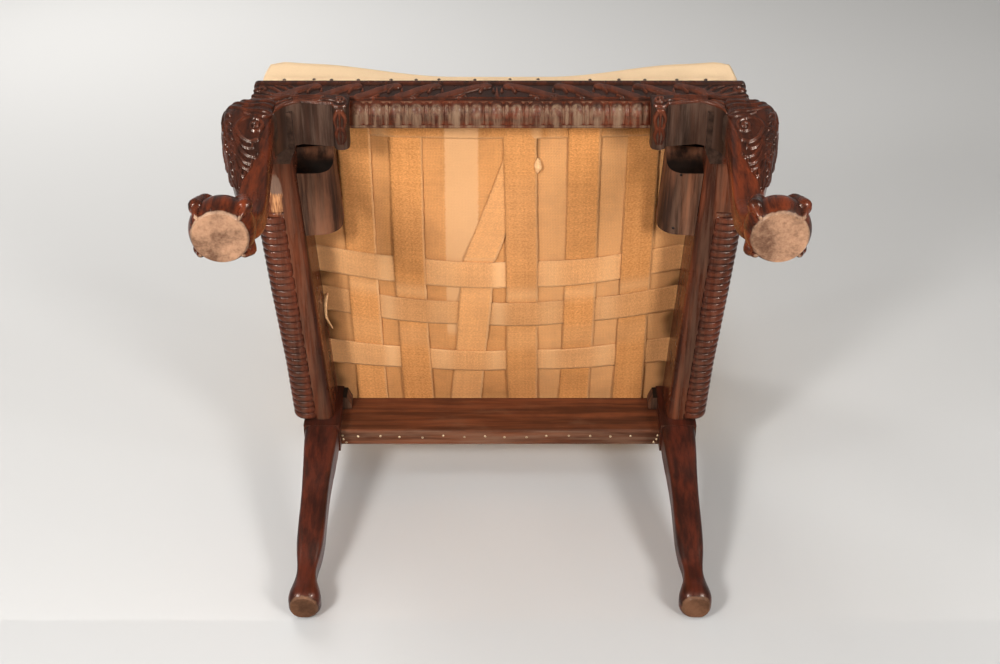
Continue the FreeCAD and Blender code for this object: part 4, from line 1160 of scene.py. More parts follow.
@dataclass
class Hessian:
    """The coarse cloth that lies over the webbing and holds the stuffing up."""

    plan: SeatPlan
    finishes: Finishes
    on_rail: float = 4.8
    inside: float = 5.4
    thick: float = 0.9
    start: float = -290.0
    finish: float = 212.0
    steps: int = 121

    def build(self) -> None:
        """Build the cloth as one thin closed sheet."""
        plan = self.plan
        steps = self.steps
        y = np.repeat(np.linspace(self.start, self.finish, steps)[:, None], steps, axis=1)
        share = np.linspace(-1.0, 1.0, steps)[None, :]
        x = (plan.inner(y) + 6.0) * share
        level = plan.level(x, y, self.on_rail, self.inside) + 0.4 * ripple(x / 22.0, y / 22.0, 5)
        level = level + 2.0 * np.exp(-(((x - 18.0) / 42.0) ** 2) - ((y + 172.0) / 62.0) ** 2)
        lower = np.stack([x, y, level - 0.5 * self.thick], axis=2).reshape(-1, 3)
        upper = np.stack([x, y, level + 0.5 * self.thick], axis=2).reshape(-1, 3)
        count = steps * steps
        faces = [tuple(reversed(face)) for face in grid_faces(steps, steps)]
        faces += grid_faces(steps, steps, start=count)
        border = grid_border(steps, steps)
        for here, after in zip(border, border[1:] + border[:1]):
            faces.append((here, after, after + count, here + count))
        # The shade mark darkens the cloth toward the front rail, the rear rail and the side rails, and adds
        # painted shadow in the torn holes along its edges and in the slit beside the loose strap's tip.
        shade = 0.30 * (1.0 - blend(y, -275.0, -205.0)) + 0.2 * blend(np.abs(share), 0.86, 1.0)
        ragged = np.abs(share) + 0.03 * ripple(y / 7.0, 6.0 * np.sign(x), 61)
        torn = blend(ragged, 0.90, 0.985) * blend(y, -60.0, 0.0)
        slit_shadow = window(x, 43.0, 54.0, 3.0, 5.5) * window(y, -240.0, -186.0, 6.0, 18.0)
        shade = np.clip(shade + 0.12 * blend(y, 165.0, 205.0) + 0.75 * torn + 0.75 * slit_shadow, 0.0, 0.85).ravel()
        pale = np.clip(0.12 + 0.16 * blend(x, 20.0, 70.0) + 0.12 * blend(-x, 150.0, 200.0), 0.0, 1.0).ravel()
        run = np.stack([x * MM, y * MM, 0.0 * x], axis=2).reshape(-1, 3)
        marks = {"run": np.concatenate([run, run])}
        marks |= {"shade": np.concatenate([shade, shade]), "pale": np.concatenate([pale, pale])}
        piece = make_mesh("seat_hessian_cloth", np.concatenate([lower, upper]), faces, marks)
        place(piece, self.finishes.hessian, ["seat_hessian"])


@dataclass
class SeatCover:
    """The stuffed seat in its cover, drawn down to the rails and tacked along its hem."""

    plan: SeatPlan
    finishes: Finishes
    side_inset: float = 6.5
    hem: float = 383.0
    corner_high: float = 469.0
    centre_high: float = 433.0
    rear_corner: float = 424.0
    rear_centre: float = 418.0
    rear_hem: float = 392.5
    soft: float = 21.0
    columns: int = 97
    skirt_steps: int = 12
    notch_front: float = -122.0
    notch_back: float = -70.0
    notch_half: float = 261.0
    stile_front: float = 182.0
    stile_half: float = 230.0

    def half(self, y: float, inside: bool) -> float:
        """Give the half width of the cover at a depth.

        Args:
            y: The depth.
            inside: Whether the row is one of those cut back for a support or a stile.

        Returns:
            The half width.
        """
        if inside and self.notch_front <= y <= self.notch_back:
            return self.notch_half
        if inside and y >= self.stile_front:
            return self.stile_half
        return float(self.plan.side(y)) - self.side_inset

    def crown(self, share: Array, y: Array) -> Array:
        """Give the height of the top of the seat.

        Args:
            share: Place across as a share of the full half width.
            y: Depth.

        Returns:
            The height.
        """
        front = self.plan.front
        back = blend(y, front, 130.0)
        corner = self.corner_high * (1.0 - back) + self.rear_corner * back
        centre = self.centre_high + 14.0 * blend(y, front, -120.0)
        centre = centre * (1.0 - back) + self.rear_centre * back
        fall = 9.0 * blend(np.abs(share), 0.93, 1.0) ** 2
        return centre + (corner - centre) * blend(np.abs(share), 0.2, 0.8) - fall

    def rows(self) -> list[tuple[float, bool]]:
        """List the depths of the rows, with the notches for supports and stiles.

        Returns:
            Each depth, and whether it lies in a notch.
        """
        listed = []
        for start, finish, inside, count in (
            (self.plan.front, self.notch_front, False, 31),
            (self.notch_front + 0.9, self.notch_back - 0.9, True, 8),
            (self.notch_back, self.stile_front - 0.9, False, 33),
            (self.stile_front, self.plan.rear, True, 9),
        ):
            listed += [(float(value), inside) for value in np.linspace(start, finish, count)]
        return listed

    def build(self) -> None:
        """Build the covered seat: the crowned top, and a skirt down to the hem."""
        plan = self.plan
        columns = self.columns
        spread = np.sin(np.linspace(-0.41, 0.41, columns) * math.pi) / math.sin(0.41 * math.pi)
        listed = self.rows()
        points = []
        for y, inside in listed:
            half = self.half(y, inside)
            x = half * spread
            deep = np.full(columns, y)
            gap = np.minimum(half - np.abs(x), min(y - plan.front, plan.rear - y))
            share = np.clip(gap / self.soft, 0.0, 1.0)
            top = self.crown(x / self.half(y, False), deep)
            top = top - self.soft * (1.0 - np.sqrt(1.0 - (1.0 - share) ** 2))
            top = top + 1.1 * ripple(x / 30.0, deep / 30.0, 3) * share
            points.append(np.stack([x, deep, top], axis=1))
        sheet = np.concatenate(points)
        faces = grid_faces(len(listed), columns)
        border = grid_border(len(listed), columns)
        loop = sheet[border]
        around = np.concatenate([[0.0], np.cumsum(np.linalg.norm(np.diff(loop[:, :2], axis=0), axis=1))])
        centre = np.array([0.0, -40.0])
        away = loop[:, :2] - centre
        away = away / np.linalg.norm(away, axis=1)[:, None]
        rings = [sheet]
        runs = [sheet * MM]
        previous = border
        steps = self.skirt_steps
        for step in range(1, steps + 2):
            down = min(1.0, step / steps)
            ring = loop.copy()
            hem = np.where(loop[:, 1] > self.stile_front - 3.0, self.rear_hem, self.hem)
            ring[:, 2] = loop[:, 2] + (hem - loop[:, 2]) * down
            pucker = 0.35 * np.sin(around * 2.0 * math.pi / 28.0) * down**2
            swell = 1.3 + 0.7 * ripple(around / 26.0, ring[:, 2] / 12.0, 8)
            bulge = swell * math.sin(math.pi * down) + pucker
            if step > steps:
                bulge = bulge - 2.2
            ring[:, :2] += away * bulge[:, None]
            if step >= steps:
                ring[:, 2] += 0.7 * ripple(around / 7.0, 0.0 * around, 77)
            start = sum(len(part) for part in rings)
            rings.append(ring)
            runs.append(np.stack([around * MM, ring[:, 2] * MM, np.ones(len(ring))], axis=1))
            numbers = list(range(start, start + len(ring)))
            for order in range(len(ring)):
                after = (order + 1) % len(ring)
                faces.append((previous[order], numbers[order], numbers[after], previous[after]))
            previous = numbers
        piece = make_mesh("seat_cushioned_top", np.concatenate(rings), faces, {"run": np.concatenate(runs)})
        held = list(range(len(piece.data.vertices) - 4 * len(loop), len(piece.data.vertices)))
        plump(piece, held, 4.0, 6.0)
        place(piece, self.finishes.muslin, ["seat_cover", "seat_stuffing"])


# The upholstered back and arm pads


def plump(piece: Object, held: Sequence[int], pressure: float, cap: float) -> None:
    """Let stuffing press a cover outward, with its hem held.

    Args:
        piece: The covered form.
        held: Numbers of the points that stay.
        pressure: How hard the stuffing presses.
        cap: How far a point may move, in millimetres.
    """
    rest = np.empty(len(piece.data.vertices) * 3)
    piece.data.vertices.foreach_get("co", rest)
    group = piece.vertex_groups.new(name="held")
    group.add(list(held), 1.0, "REPLACE")
    cloth = piece.modifiers.new("cloth", "CLOTH")
    cloth.settings.use_pressure = True
    cloth.settings.uniform_pressure_force = pressure
    cloth.settings.effector_weights.gravity = 0.0
    cloth.settings.vertex_group_mass = "held"
    cloth.settings.tension_stiffness = 40.0
    cloth.settings.compression_stiffness = 40.0
    cloth.settings.bending_stiffness = 1.5
    cloth.settings.quality = 6
    cloth.collision_settings.use_collision = False
    scene = bpy.context.scene
    for step in range(1, 21):
        scene.frame_set(step)
    shaped = piece.evaluated_get(bpy.context.evaluated_depsgraph_get()).to_mesh()
    moved = np.empty_like(rest)
    shaped.vertices.foreach_get("co", moved)
    shift = (moved - rest).reshape(-1, 3)
    far = np.linalg.norm(shift, axis=1)
    shift = shift * (np.minimum(1.0, cap * MM / np.maximum(far, 1e-9)))[:, None]
    ends = np.empty(len(piece.data.edges) * 2, dtype=int)
    piece.data.edges.foreach_get("vertices", ends)
    first, second = ends.reshape(-1, 2).T
    shares = np.bincount(ends, minlength=len(shift))[:, None]
    for _ in range(25):
        around = np.zeros_like(shift)
        np.add.at(around, first, shift[second])
        np.add.at(around, second, shift[first])
        shift = 0.5 * shift + 0.5 * around / shares
        shift[list(held)] = 0.0
    piece.modifiers.remove(cloth)
    piece.vertex_groups.remove(group)
    scene.frame_set(1)
    piece.data.vertices.foreach_set("co", (rest.reshape(-1, 3) + shift).ravel())
    piece.data.update()
    farthest = float(np.linalg.norm(shift, axis=1).max()) / MM
    LOG.info("%s: stuffed, moved up to %.1f mm", piece.name, farthest)


def rounded_loop(half_wide: float, half_tall: float, radius: float, count: int) -> Array:
    """Give evenly spaced points round a box with round corners.

    Args:
        half_wide: Half its width.
        half_tall: Half its height.
        radius: Radius of its corners.
        count: Count of points.

    Returns:
        The points, one row each.
    """
    corners = []
    for order, (side, rise) in enumerate(((1, 1), (-1, 1), (-1, -1), (1, -1))):
        turn = np.linspace(0.5 * math.pi * order, 0.5 * math.pi * (order + 1), 14)
        centre = np.array([side * (half_wide - radius), rise * (half_tall - radius)])
        corners.append(centre + radius * np.stack([np.cos(turn), np.sin(turn)], axis=1))
    line = np.concatenate(corners + [corners[0][:1]])
    run = np.concatenate([[0.0], np.cumsum(np.linalg.norm(np.diff(line, axis=0), axis=1))])
    spots = np.linspace(0.0, run[-1], count, endpoint=False)
    return np.stack([np.interp(spots, run, line[:, 0]), np.interp(spots, run, line[:, 1])], axis=1)


@dataclass
class Back:
    """The padded back in its cover, with a plain cloth on the outside."""

    finishes: Finishes
    rake: float = 10.63
    foot_y: float = 229.0
    foot_z: float = 400.0
    half: float = 284.0
    low: float = 27.0
    height: float = 597.0
    pad: float = 66.0
    stile: float = 34.0
    count: int = 300
    hem: tuple[tuple[float, float], ...] = ((1.2, 8.0), (1.4, 0.6), (-8.0, 0.0), (-20.0, 0.0), (-34.0, 0.0))
    crown: tuple[tuple[float, float], ...] = (
        (0.17, 0.0), (0.34, 0.0), (0.48, 2.5), (0.58, 8.0), (0.66, 20.0), (0.73, 35.0),
        (0.80, 52.0), (0.86, 73.0), (0.91, 96.0), (0.945, 120.0), (0.975, 146.0), (0.99, 172.0),
        (1.0, 200.0), (1.005, 228.0), (1.008, 256.0), (1.009, 274.0),
    )
    outside_insets: tuple[float, ...] = (7.0, 9.0, 20.0, 50.0, 90.0, 140.0, 190.0, 240.0)
    outside_thick: float = 0.9

    def on_back(self, across: Array, behind: Any, rise: Array) -> Array:
        """Turn places measured on the raked back into places in the room.

        Args:
            across: Places across.
            behind: Places through the back, positive to the rear.
            rise: Places up the back from its foot.

        Returns:
            The points, one row each.
        """
        lean = math.radians(self.rake)
        deep = behind * math.cos(lean) + rise * math.sin(lean)
        tall = rise * math.cos(lean) - behind * math.sin(lean)
        return np.stack([across, self.foot_y + deep, self.foot_z + tall], axis=-1)

    def loop(self, inset: float) -> Array:
        """Give the outline of the back, drawn in by an inset.

        Args:
            inset: How far it is drawn in.

        Returns:
            The points, across and up the back.
        """
        tall = 0.5 * (self.height - self.low)
        radius = min(19.0 + 0.3 * inset, self.half - inset - 1.0, tall - inset - 1.0)
        line = rounded_loop(self.half - inset, tall - inset, radius, self.count)
        return line + np.array([0.0, 0.5 * (self.height + self.low)])

    def front(self) -> None:
        """Build the padded face, section by section from its hem to the middle of its crown."""
        sections = list(self.hem)
        sections += [(-self.stile - self.pad * share, inset) for share, inset in self.crown]
        rings = []
        runs = []
        for behind, inset in sections:
            line = self.loop(inset)
            uneven = 1.0 * ripple(line[:, 0] / 42.0, line[:, 1] / 42.0, 21) * min(1.0, inset / 20.0)
            ring = self.on_back(line[:, 0], behind + uneven, line[:, 1])
            rings.append(ring)
            rise = line[:, 1] * MM + 0.4 * behind * MM
            runs.append(np.stack([line[:, 0] * MM, rise, np.zeros(len(line))], axis=1))
        faces = grid_faces(len(sections), self.count, closed=True)
        faces.append(tuple(range((len(sections) - 1) * self.count, len(sections) * self.count)))
        piece = make_mesh("back_cushioned_face", np.concatenate(rings), faces, {"run": np.concatenate(runs)})
        plump(piece, range(len(self.hem) * self.count), 3.0, 7.0)
        hidden = ["back_cover", "back_stuffing", "back_hessian", "back_webbing"]
        place(piece, self.finishes.muslin, hidden)

    def outside(self) -> None:
        """Build the plain cloth tacked over the outside of the back."""
        insets = self.outside_insets
        rings = []
        runs = []
        for side, order in ((1.0, insets[::-1]), (-1.0, insets)):
            for inset in order:
                line = self.loop(inset)
                lift = 0.7 * ripple(line[:, 0] / 60.0, line[:, 1] / 60.0, 31) * min(1.0, (inset - 7.0) / 20.0)
                behind = 2.4 + 0.5 * side * self.outside_thick + lift
                rings.append(self.on_back(line[:, 0], behind, line[:, 1]))
                runs.append(np.concatenate([line * MM, np.zeros((self.count, 1))], axis=1))
        faces = tube_faces(len(rings), self.count)
        piece = make_mesh("outside_back_cloth", np.concatenate(rings), faces, {"run": np.concatenate(runs)})
        place(piece, self.finishes.muslin, ["outside_back_cover"])

    def build(self) -> None:
        """Build the padded face and the outside cloth."""
        self.front()
        self.outside()


@dataclass
class ArmPads:
    """The small stuffed pads on the arms."""

    finishes: Finishes
    voxel: float = 0.004

    def build(self) -> None:
        """Build both pads from their solids, softened and filled."""
        for side in ("right", "left"):
            name = f"{side}_arm_pad"
            rough = bpy.data.objects.new(f"{side}_pad_form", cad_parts[name].data.copy())
            bpy.context.scene.collection.objects.link(rough)
            remesh = rough.modifiers.new("even", "REMESH")
            remesh.mode = "VOXEL"
            remesh.voxel_size = self.voxel
            smooth = rough.modifiers.new("soften", "SMOOTH")
            smooth.iterations = 6
            graph = bpy.context.evaluated_depsgraph_get()
            mesh = bpy.data.meshes.new_from_object(rough.evaluated_get(graph))
            bpy.data.objects.remove(rough)
            points = np.empty(len(mesh.vertices) * 3)
            mesh.vertices.foreach_get("co", points)
            points = points.reshape(-1, 3)
            faces = [tuple(face.vertices) for face in mesh.polygons]
            run = np.stack([points[:, 0] + 0.8 * points[:, 2], points[:, 1], 0.0 * points[:, 0]], axis=1)
            piece = make_mesh(f"{side}_cushioned_arm", points / MM, faces, {"run": run})
            low = points[:, 2].min()
            plump(piece, np.flatnonzero(points[:, 2] < low + 0.006).tolist(), 4.0, 3.0)
            place(piece, self.finishes.muslin, [name])


# Carving, drawn as raised strokes


def curve(knots: Sequence[tuple[float, float]], count: int = 9) -> Array:
    """Run a smooth line through knots.

    Args:
        knots: Points that the line passes.
        count: Count of points from one knot to the next.

    Returns:
        The points of the line.
    """
    firm = np.array([knots[0], *knots, knots[-1]], dtype=float)
    share = np.linspace(0.0, 1.0, count, endpoint=False)[:, None]
    line = []
    for before, here, after, later in zip(firm, firm[1:], firm[2:], firm[3:]):
        line.append(
            here
            + 0.5 * share * (after - before)
            + share**2 * (before - 2.5 * here + 2.0 * after - 0.5 * later)
            + share**3 * (1.5 * (here - after) + 0.5 * (later - before))
        )
    return np.concatenate(line + [firm[-1:]])


def spiral(
    centre: tuple[float, float], wide: float, tall: float, start: float, turns: float, inner: float = 0.12
) -> Array:
    """Run a line inward round a centre.

    Args:
        centre: The eye of the spiral.
        wide: Its first reach across.
        tall: Its first reach up.
        start: Angle of its outer end, in degrees.
        turns: Count of turns, negative for clockwise.
        inner: Share of the reach left at the eye.

    Returns:
        The points of the line.
    """
    share = np.linspace(0.0, 1.0, int(22 * abs(turns)) + 2)
    angle = math.radians(start) + 2.0 * math.pi * turns * share
    reach = 1.0 - (1.0 - inner) * share
    across = centre[0] + wide * reach * np.cos(angle)
    up = centre[1] + tall * reach * np.sin(angle)
    return np.stack([across, up], axis=1)


class Relief:
    """A field of raised strokes, each round in section and tapered along its length."""

    def __init__(self) -> None:
        """Start an empty field."""
        self.strokes: list[tuple[Array, Array, Array, float]] = []

    def stroke(
        self, line: Any, width: tuple[float, float], height: tuple[float, float], flat: float = 2.0
    ) -> None:
        """Add one stroke.

        Args:
            line: Points of its middle.
            width: Its half width at the start and at the end.
            height: Its height at the start and at the end.
            flat: How flat its top is, from 2 for a round one.
        """
        line = np.asarray(line, dtype=float)
        self.strokes.append((line, np.linspace(*width, len(line)), np.linspace(*height, len(line)), flat))

    def height(self, first: Array, second: Array) -> Array:
        """Give the height of the carving at places on the field.

        Args:
            first: Places along.
            second: Places up.

        Returns:
            The heights, 0 on the ground.
        """
        spots = np.stack([first.ravel(), second.ravel()], axis=1)
        raised = np.zeros(len(spots))
        for line, width, height, flat in self.strokes:
            reach = float(width.max())
            low, high = line.min(axis=0) - reach, line.max(axis=0) + reach
            near = np.flatnonzero(np.all((spots >= low) & (spots <= high), axis=1))
            for here, after, wide, wide_after, tall, tall_after in zip(
                line, line[1:], width, width[1:], height, height[1:]
            ):
                step = after - here
                offset = spots[near] - here
                share = np.clip(offset @ step / max(float(step @ step), 1e-9), 0.0, 1.0)
                gap = np.linalg.norm(offset - share[:, None] * step, axis=1)
                breadth = wide + (wide_after - wide) * share
                crown = np.sqrt(np.maximum(0.0, 1.0 - (gap / breadth) ** flat))
                raised[near] = np.maximum(raised[near], (tall + (tall_after - tall) * share) * crown)
        return raised.reshape(first.shape)


def carved_skin(
    name: str, base: Array, out: Array, height: Array, hollow: Array, crest: Array,
    finish: Material,
) -> Object:
    """Make one carved surface that lies on a piece of wood.

    Args:
        name: Name of the carving.
        base: Grid of points on the wood.
        out: The way out of the wood at each point.
        height: How far the carving stands out.
        hollow: How much dirt and painted shade lie there.
        crest: How much it is worn by rubbing and given a painted highlight.
        finish: Its material.

    Returns:
        The carving.
    """
    rows, columns = height.shape
    points = (base + out * height[:, :, None]).reshape(-1, 3)
    faces = grid_faces(rows, columns)
    edge_one = points[1] - points[0]
    edge_two = points[columns] - points[0]
    if float(np.cross(edge_one, edge_two) @ out[0, 0]) < 0.0:
        faces = [tuple(reversed(face)) for face in faces]
    piece = make_mesh(name, points, faces, {"hollow": hollow.ravel(), "crest": crest.ravel()})
    return place(piece, finish)


def cast(tree: BVHTree, start: Sequence[float], way: Sequence[float], reach: float) -> Array | None:
    """Find where a ray from outside meets a solid.

    Args:
        tree: The solid.
        start: Where the ray starts, in millimetres.
        way: The way that it goes.
        reach: How far it goes, in millimetres.

    Returns:
        The point in millimetres, or None if it meets nothing.
    """
    hit = tree.ray_cast(Vector(start) * MM, Vector(way), reach * MM)[0]
    return None if hit is None else np.array(hit) / MM


def wood_tree(node: str) -> BVHTree:
    """Give a tree for casting rays at one solid.

    Args:
        node: Name of the solid.

    Returns:
        The tree, in metres.
    """
    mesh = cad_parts[node].data
    points = [tuple(vertex.co) for vertex in mesh.vertices]
    return BVHTree.FromPolygons(points, [tuple(face.vertices) for face in mesh.polygons])


@dataclass
class Frieze:
    """The running wave scroll along the seat rails, with a leaf at each front corner."""

    plan: SeatPlan
    finishes: Finishes
    low: float = 327.0
    high: float = 380.0
    ground: float = 1.7
    eyes: tuple[float, ...] = (287.0, 235.0, 182.0, 131.0, 79.0, 13.0)
    pitch: float = 52.0
    bead: float = 330.0

    def levels(self, count: int) -> Array:
        """Give the heights of the rows of points, closer at both edges.

        Args:
            count: Count of rows between the edges.

        Returns:
            The heights.
        """
        low_edge = np.linspace(self.low, self.low + 1.2, 4)
        field = np.linspace(self.low + 1.6, self.high - 1.4, count)
        return np.concatenate([low_edge, field, np.linspace(self.high - 0.9, self.high, 4)])

    def wave(self, relief: Relief, start: float, finish: float) -> None:
        """Draw one wave that rises from the hollow behind it and curls over the one before it.

        Args:
            relief: Field to draw on.
            start: Where the hollow behind it is.
            finish: Where the hollow before it is.
        """
        step = finish - start
        sense = math.copysign(1.0, step)
        rising = ((0.08, 334.0), (0.30, 341.5), (0.55, 353.0), (0.80, 361.5), (0.97, 364.5))
        relief.stroke(curve([(start + share * step, z) for share, z in rising]), (8.4, 7.4), (2.4, 2.8), 6.0)
        tail = ((-0.14, 331.8), (0.0, 332.2), (0.2, 337.0))
        relief.stroke(curve([(start + share * step, z) for share, z in tail]), (3.0, 6.2), (2.1, 2.3), 4.0)
        relief.stroke([(finish - 11.0 * sense, 347.0), (finish - 5.7 * sense, 360.0)], (1.7, 2.0), (3.3, 3.4))
        relief.stroke([(finish + 6.5 * sense, 348.5), (finish + 6.5 * sense, 355.0)], (1.9, 1.5), (3.0, 3.0))
        relief.stroke([(start + 0.42 * step, 330.0), (start + 0.56 * step, 337.0)], (3.2, 0.9), (3.0, 3.5))

    def corner(self, relief: Relief, side: float) -> None:
        """Draw the leaf that ends the frieze on a front post.

        Args:
            relief: Field to draw on.
            side: -1 for the left and 1 for the right.
        """
        for knots, width in (
            (((268.0, 335.0), (280.0, 342.0), (292.0, 357.0), (308.0, 366.0)), 4.2),
            (((268.0, 335.0), (284.0, 337.0), (300.0, 345.0), (318.0, 355.0)), 4.2),
            (((268.0, 334.0), (288.0, 331.5), (306.0, 334.5), (322.0, 342.0)), 3.8),
            (((266.0, 337.0), (271.0, 349.0), (280.0, 360.0), (292.0, 366.5)), 3.8),
            (((262.0, 336.0), (263.0, 349.0), (267.0, 359.0), (274.0, 366.0)), 3.4),
        ):
            relief.stroke(curve([(side * x, z) for x, z in knots]), (width, 1.4), (3.0, 1.8))
        relief.stroke(spiral((side * 311.0, 354.0), 9.0, 8.0, 90.0, side * 1.2), (2.6, 2.0), (2.8, 3.0))

    def shape(
        self, relief: Relief, along: Array, up: Array
    ) -> tuple[Array, Array, Array]:
        """Give heights, dirt with painted shade, and wear with a painted highlight over the frieze.

        Args:
            relief: Field drawn.
            along: Places along.
            up: Heights.

        Returns:
            Heights out of the rail, dirt with painted shade, and wear with a painted highlight.
        """
        cut = relief.height(along, up)
        fillet = blend(up, 370.2, 371.6)
        raised = np.maximum(cut, 2.1 * fillet)
        # The ground between strokes and the fillet take dirt and painted shade; the raised tops take rubbed
        # wear and a painted highlight.
        hollow = (1.0 - blend(cut, 0.2, 1.5)) * (1.0 - fillet) + 0.35 * fillet
        crest = (0.35 * blend(cut, 1.6, 2.2) + 0.5 * blend(cut, 2.7, 3.2)) * (1.0 - fillet)
        edge = window(up, self.low, self.high, 1.2, 0.9)
        return (self.ground + raised + 0.3) * edge - 0.3, hollow, crest

    def front(self) -> None:
        """Carve the front rail, with the bead below the scroll, and wrap the leaves round the corners."""
        relief = Relief()
        for start, finish in zip(self.eyes, self.eyes[1:]):
            self.wave(relief, -start - 2.0, -finish - 2.0)
            self.wave(relief, start - 4.0, finish - 4.0)
        for side in (-1.0, 1.0):
            self.corner(relief, side)
        relief.stroke([(-4.0, 334.0), (-4.0, 357.0)], (3.4, 1.2), (2.4, 3.2))
        relief.stroke([(-320.0, self.bead), (320.0, self.bead)], (2.0, 2.0), (1.7, 1.7))
        turn = self.plan.half_front - 2.0
        left, right = np.linspace(-turn - 14.0, -turn, 15), np.linspace(turn, turn + 14.0, 15)
        along = np.concatenate([left, np.linspace(-turn, turn, 660)[1:-1], right])
        t, z = np.meshgrid(along, self.levels(46))
        height, hollow, crest = self.shape(relief, t, z)
        past = np.maximum(0.0, np.abs(t) - turn)
        bend = np.minimum(past / 3.2, 0.5 * math.pi)
        beyond = np.maximum(0.0, past - 3.2 * 0.5 * math.pi)
        x = np.sign(t) * (np.minimum(np.abs(t), turn) + 2.0 * np.sin(bend))
        y = self.plan.front + 2.0 * (1.0 - np.cos(bend)) + beyond
        base = np.stack([x, y, z], axis=2)
        out = np.stack([np.sign(t) * np.sin(bend), -np.cos(bend), 0.0 * t], axis=2)
        carved_skin("front_frieze", base, out, height, hollow, crest, self.finishes.carved)

    def side(self, side: float) -> None:
        """Carve one side rail.

        Args:
            side: -1 for the left and 1 for the right.
        """
        relief = Relief()
        first, last = -302.0, 181.0
        for order in range(8):
            self.wave(relief, -236.0 + self.pitch * order, -288.0 + self.pitch * order)
        relief.stroke([(first, self.bead), (last, self.bead)], (2.0, 2.0), (1.7, 1.7))
        y, z = np.meshgrid(np.linspace(first, last, 480), self.levels(40))
        height, hollow, crest = self.shape(relief, y, z)
        height = (height + 0.3) * window(y, first, last, 1.5, 1.5) - 0.3
        base = np.stack([side * self.plan.side(y), y, z], axis=2)
        splay = math.radians(self.plan.splay)
        out = np.zeros_like(base)
        out[:, :, 0] = side * math.cos(splay)
        out[:, :, 1] = math.sin(splay)
        name = "right_frieze" if side > 0 else "left_frieze"
        carved_skin(name, base, out, height, hollow, crest, self.finishes.carved)

    def build(self) -> None:
        """Carve the three rails."""
        self.front()
        self.side(-1.0)
        self.side(1.0)


@dataclass
class SideReeds:
    """The close reeds that wrap the lower outer edge of each side rail."""

    plan: SeatPlan
    finishes: Finishes
    first: float = -151.0
    last: float = 182.0
    reeds: int = 32
    bottom: float = 305.7
    radius: float = 18.3
    inner: float = -21.0
    swell: float = 3.0
    depths: tuple[float, ...] = (-240.0, -110.0, -30.0, 90.0, 190.0)
    proud: tuple[float, ...] = (16.5, 15.2, 13.6, 9.8, 9.8)

    def build(self) -> None:
        """Build the reeds of both rails."""
        y = np.linspace(self.first, self.last, 12 * self.reeds + 1)
        share = np.linspace(0.0, self.reeds, len(y)) % 1.0
        share[-1] = 1.0
        full = self.swell * np.sqrt(1.0 - (2.0 * share - 1.0) ** 2)
        edge = np.interp(y, self.depths, self.proud)
        turn = np.linspace(0.0, 0.5 * math.pi, 9)
        rows = []
        for depth, rise, reach in zip(y, full, edge):
            middle = reach - self.radius
            out = [self.inner, self.inner + 1.0, self.inner + 6.0, 0.5 * (self.inner + middle) + 3.0]
            z = [self.bottom + 4.0, self.bottom + 0.6, self.bottom + 0.2 - 0.8 * rise, self.bottom - rise]
            out += list(middle + (self.radius + rise) * np.sin(turn)) + [reach + rise, 0.4]
            shoulder = self.bottom + self.radius
            z += list(shoulder - (self.radius + rise) * np.cos(turn)) + [shoulder + 1.4] * 2
            rows.append(np.stack([out, np.full(len(out), depth), z], axis=1))
        section = np.array(rows)
        columns = section.shape[1]
        splay = math.radians(self.plan.splay)
        for side, name in ((-1.0, "left_reeds"), (1.0, "right_reeds")):
            x = side * (self.plan.side(section[:, :, 1]) + math.cos(splay) * section[:, :, 0])
            deep = section[:, :, 1] + math.sin(splay) * section[:, :, 0]
            points = np.stack([x, deep, section[:, :, 2]], axis=2).reshape(-1, 3)
            faces = tube_faces(len(y), columns)
            if side > 0.0:
                faces = [tuple(reversed(face)) for face in faces]
            # Painted shade in the valleys between the reeds, and a painted highlight along the top of each
            # reed.
            inward = blend(section[:, :, 0], self.inner + 2.0, self.inner + 12.0)
            hollow = ((1.0 - blend(full, 0.9, 2.3))[:, None] * inward).ravel()
            marks = {"hollow": hollow, "crest": np.repeat(0.4 * blend(full, 2.5, 3.0), columns)}
            place(make_mesh(name, points, faces, marks), self.finishes.reeds)


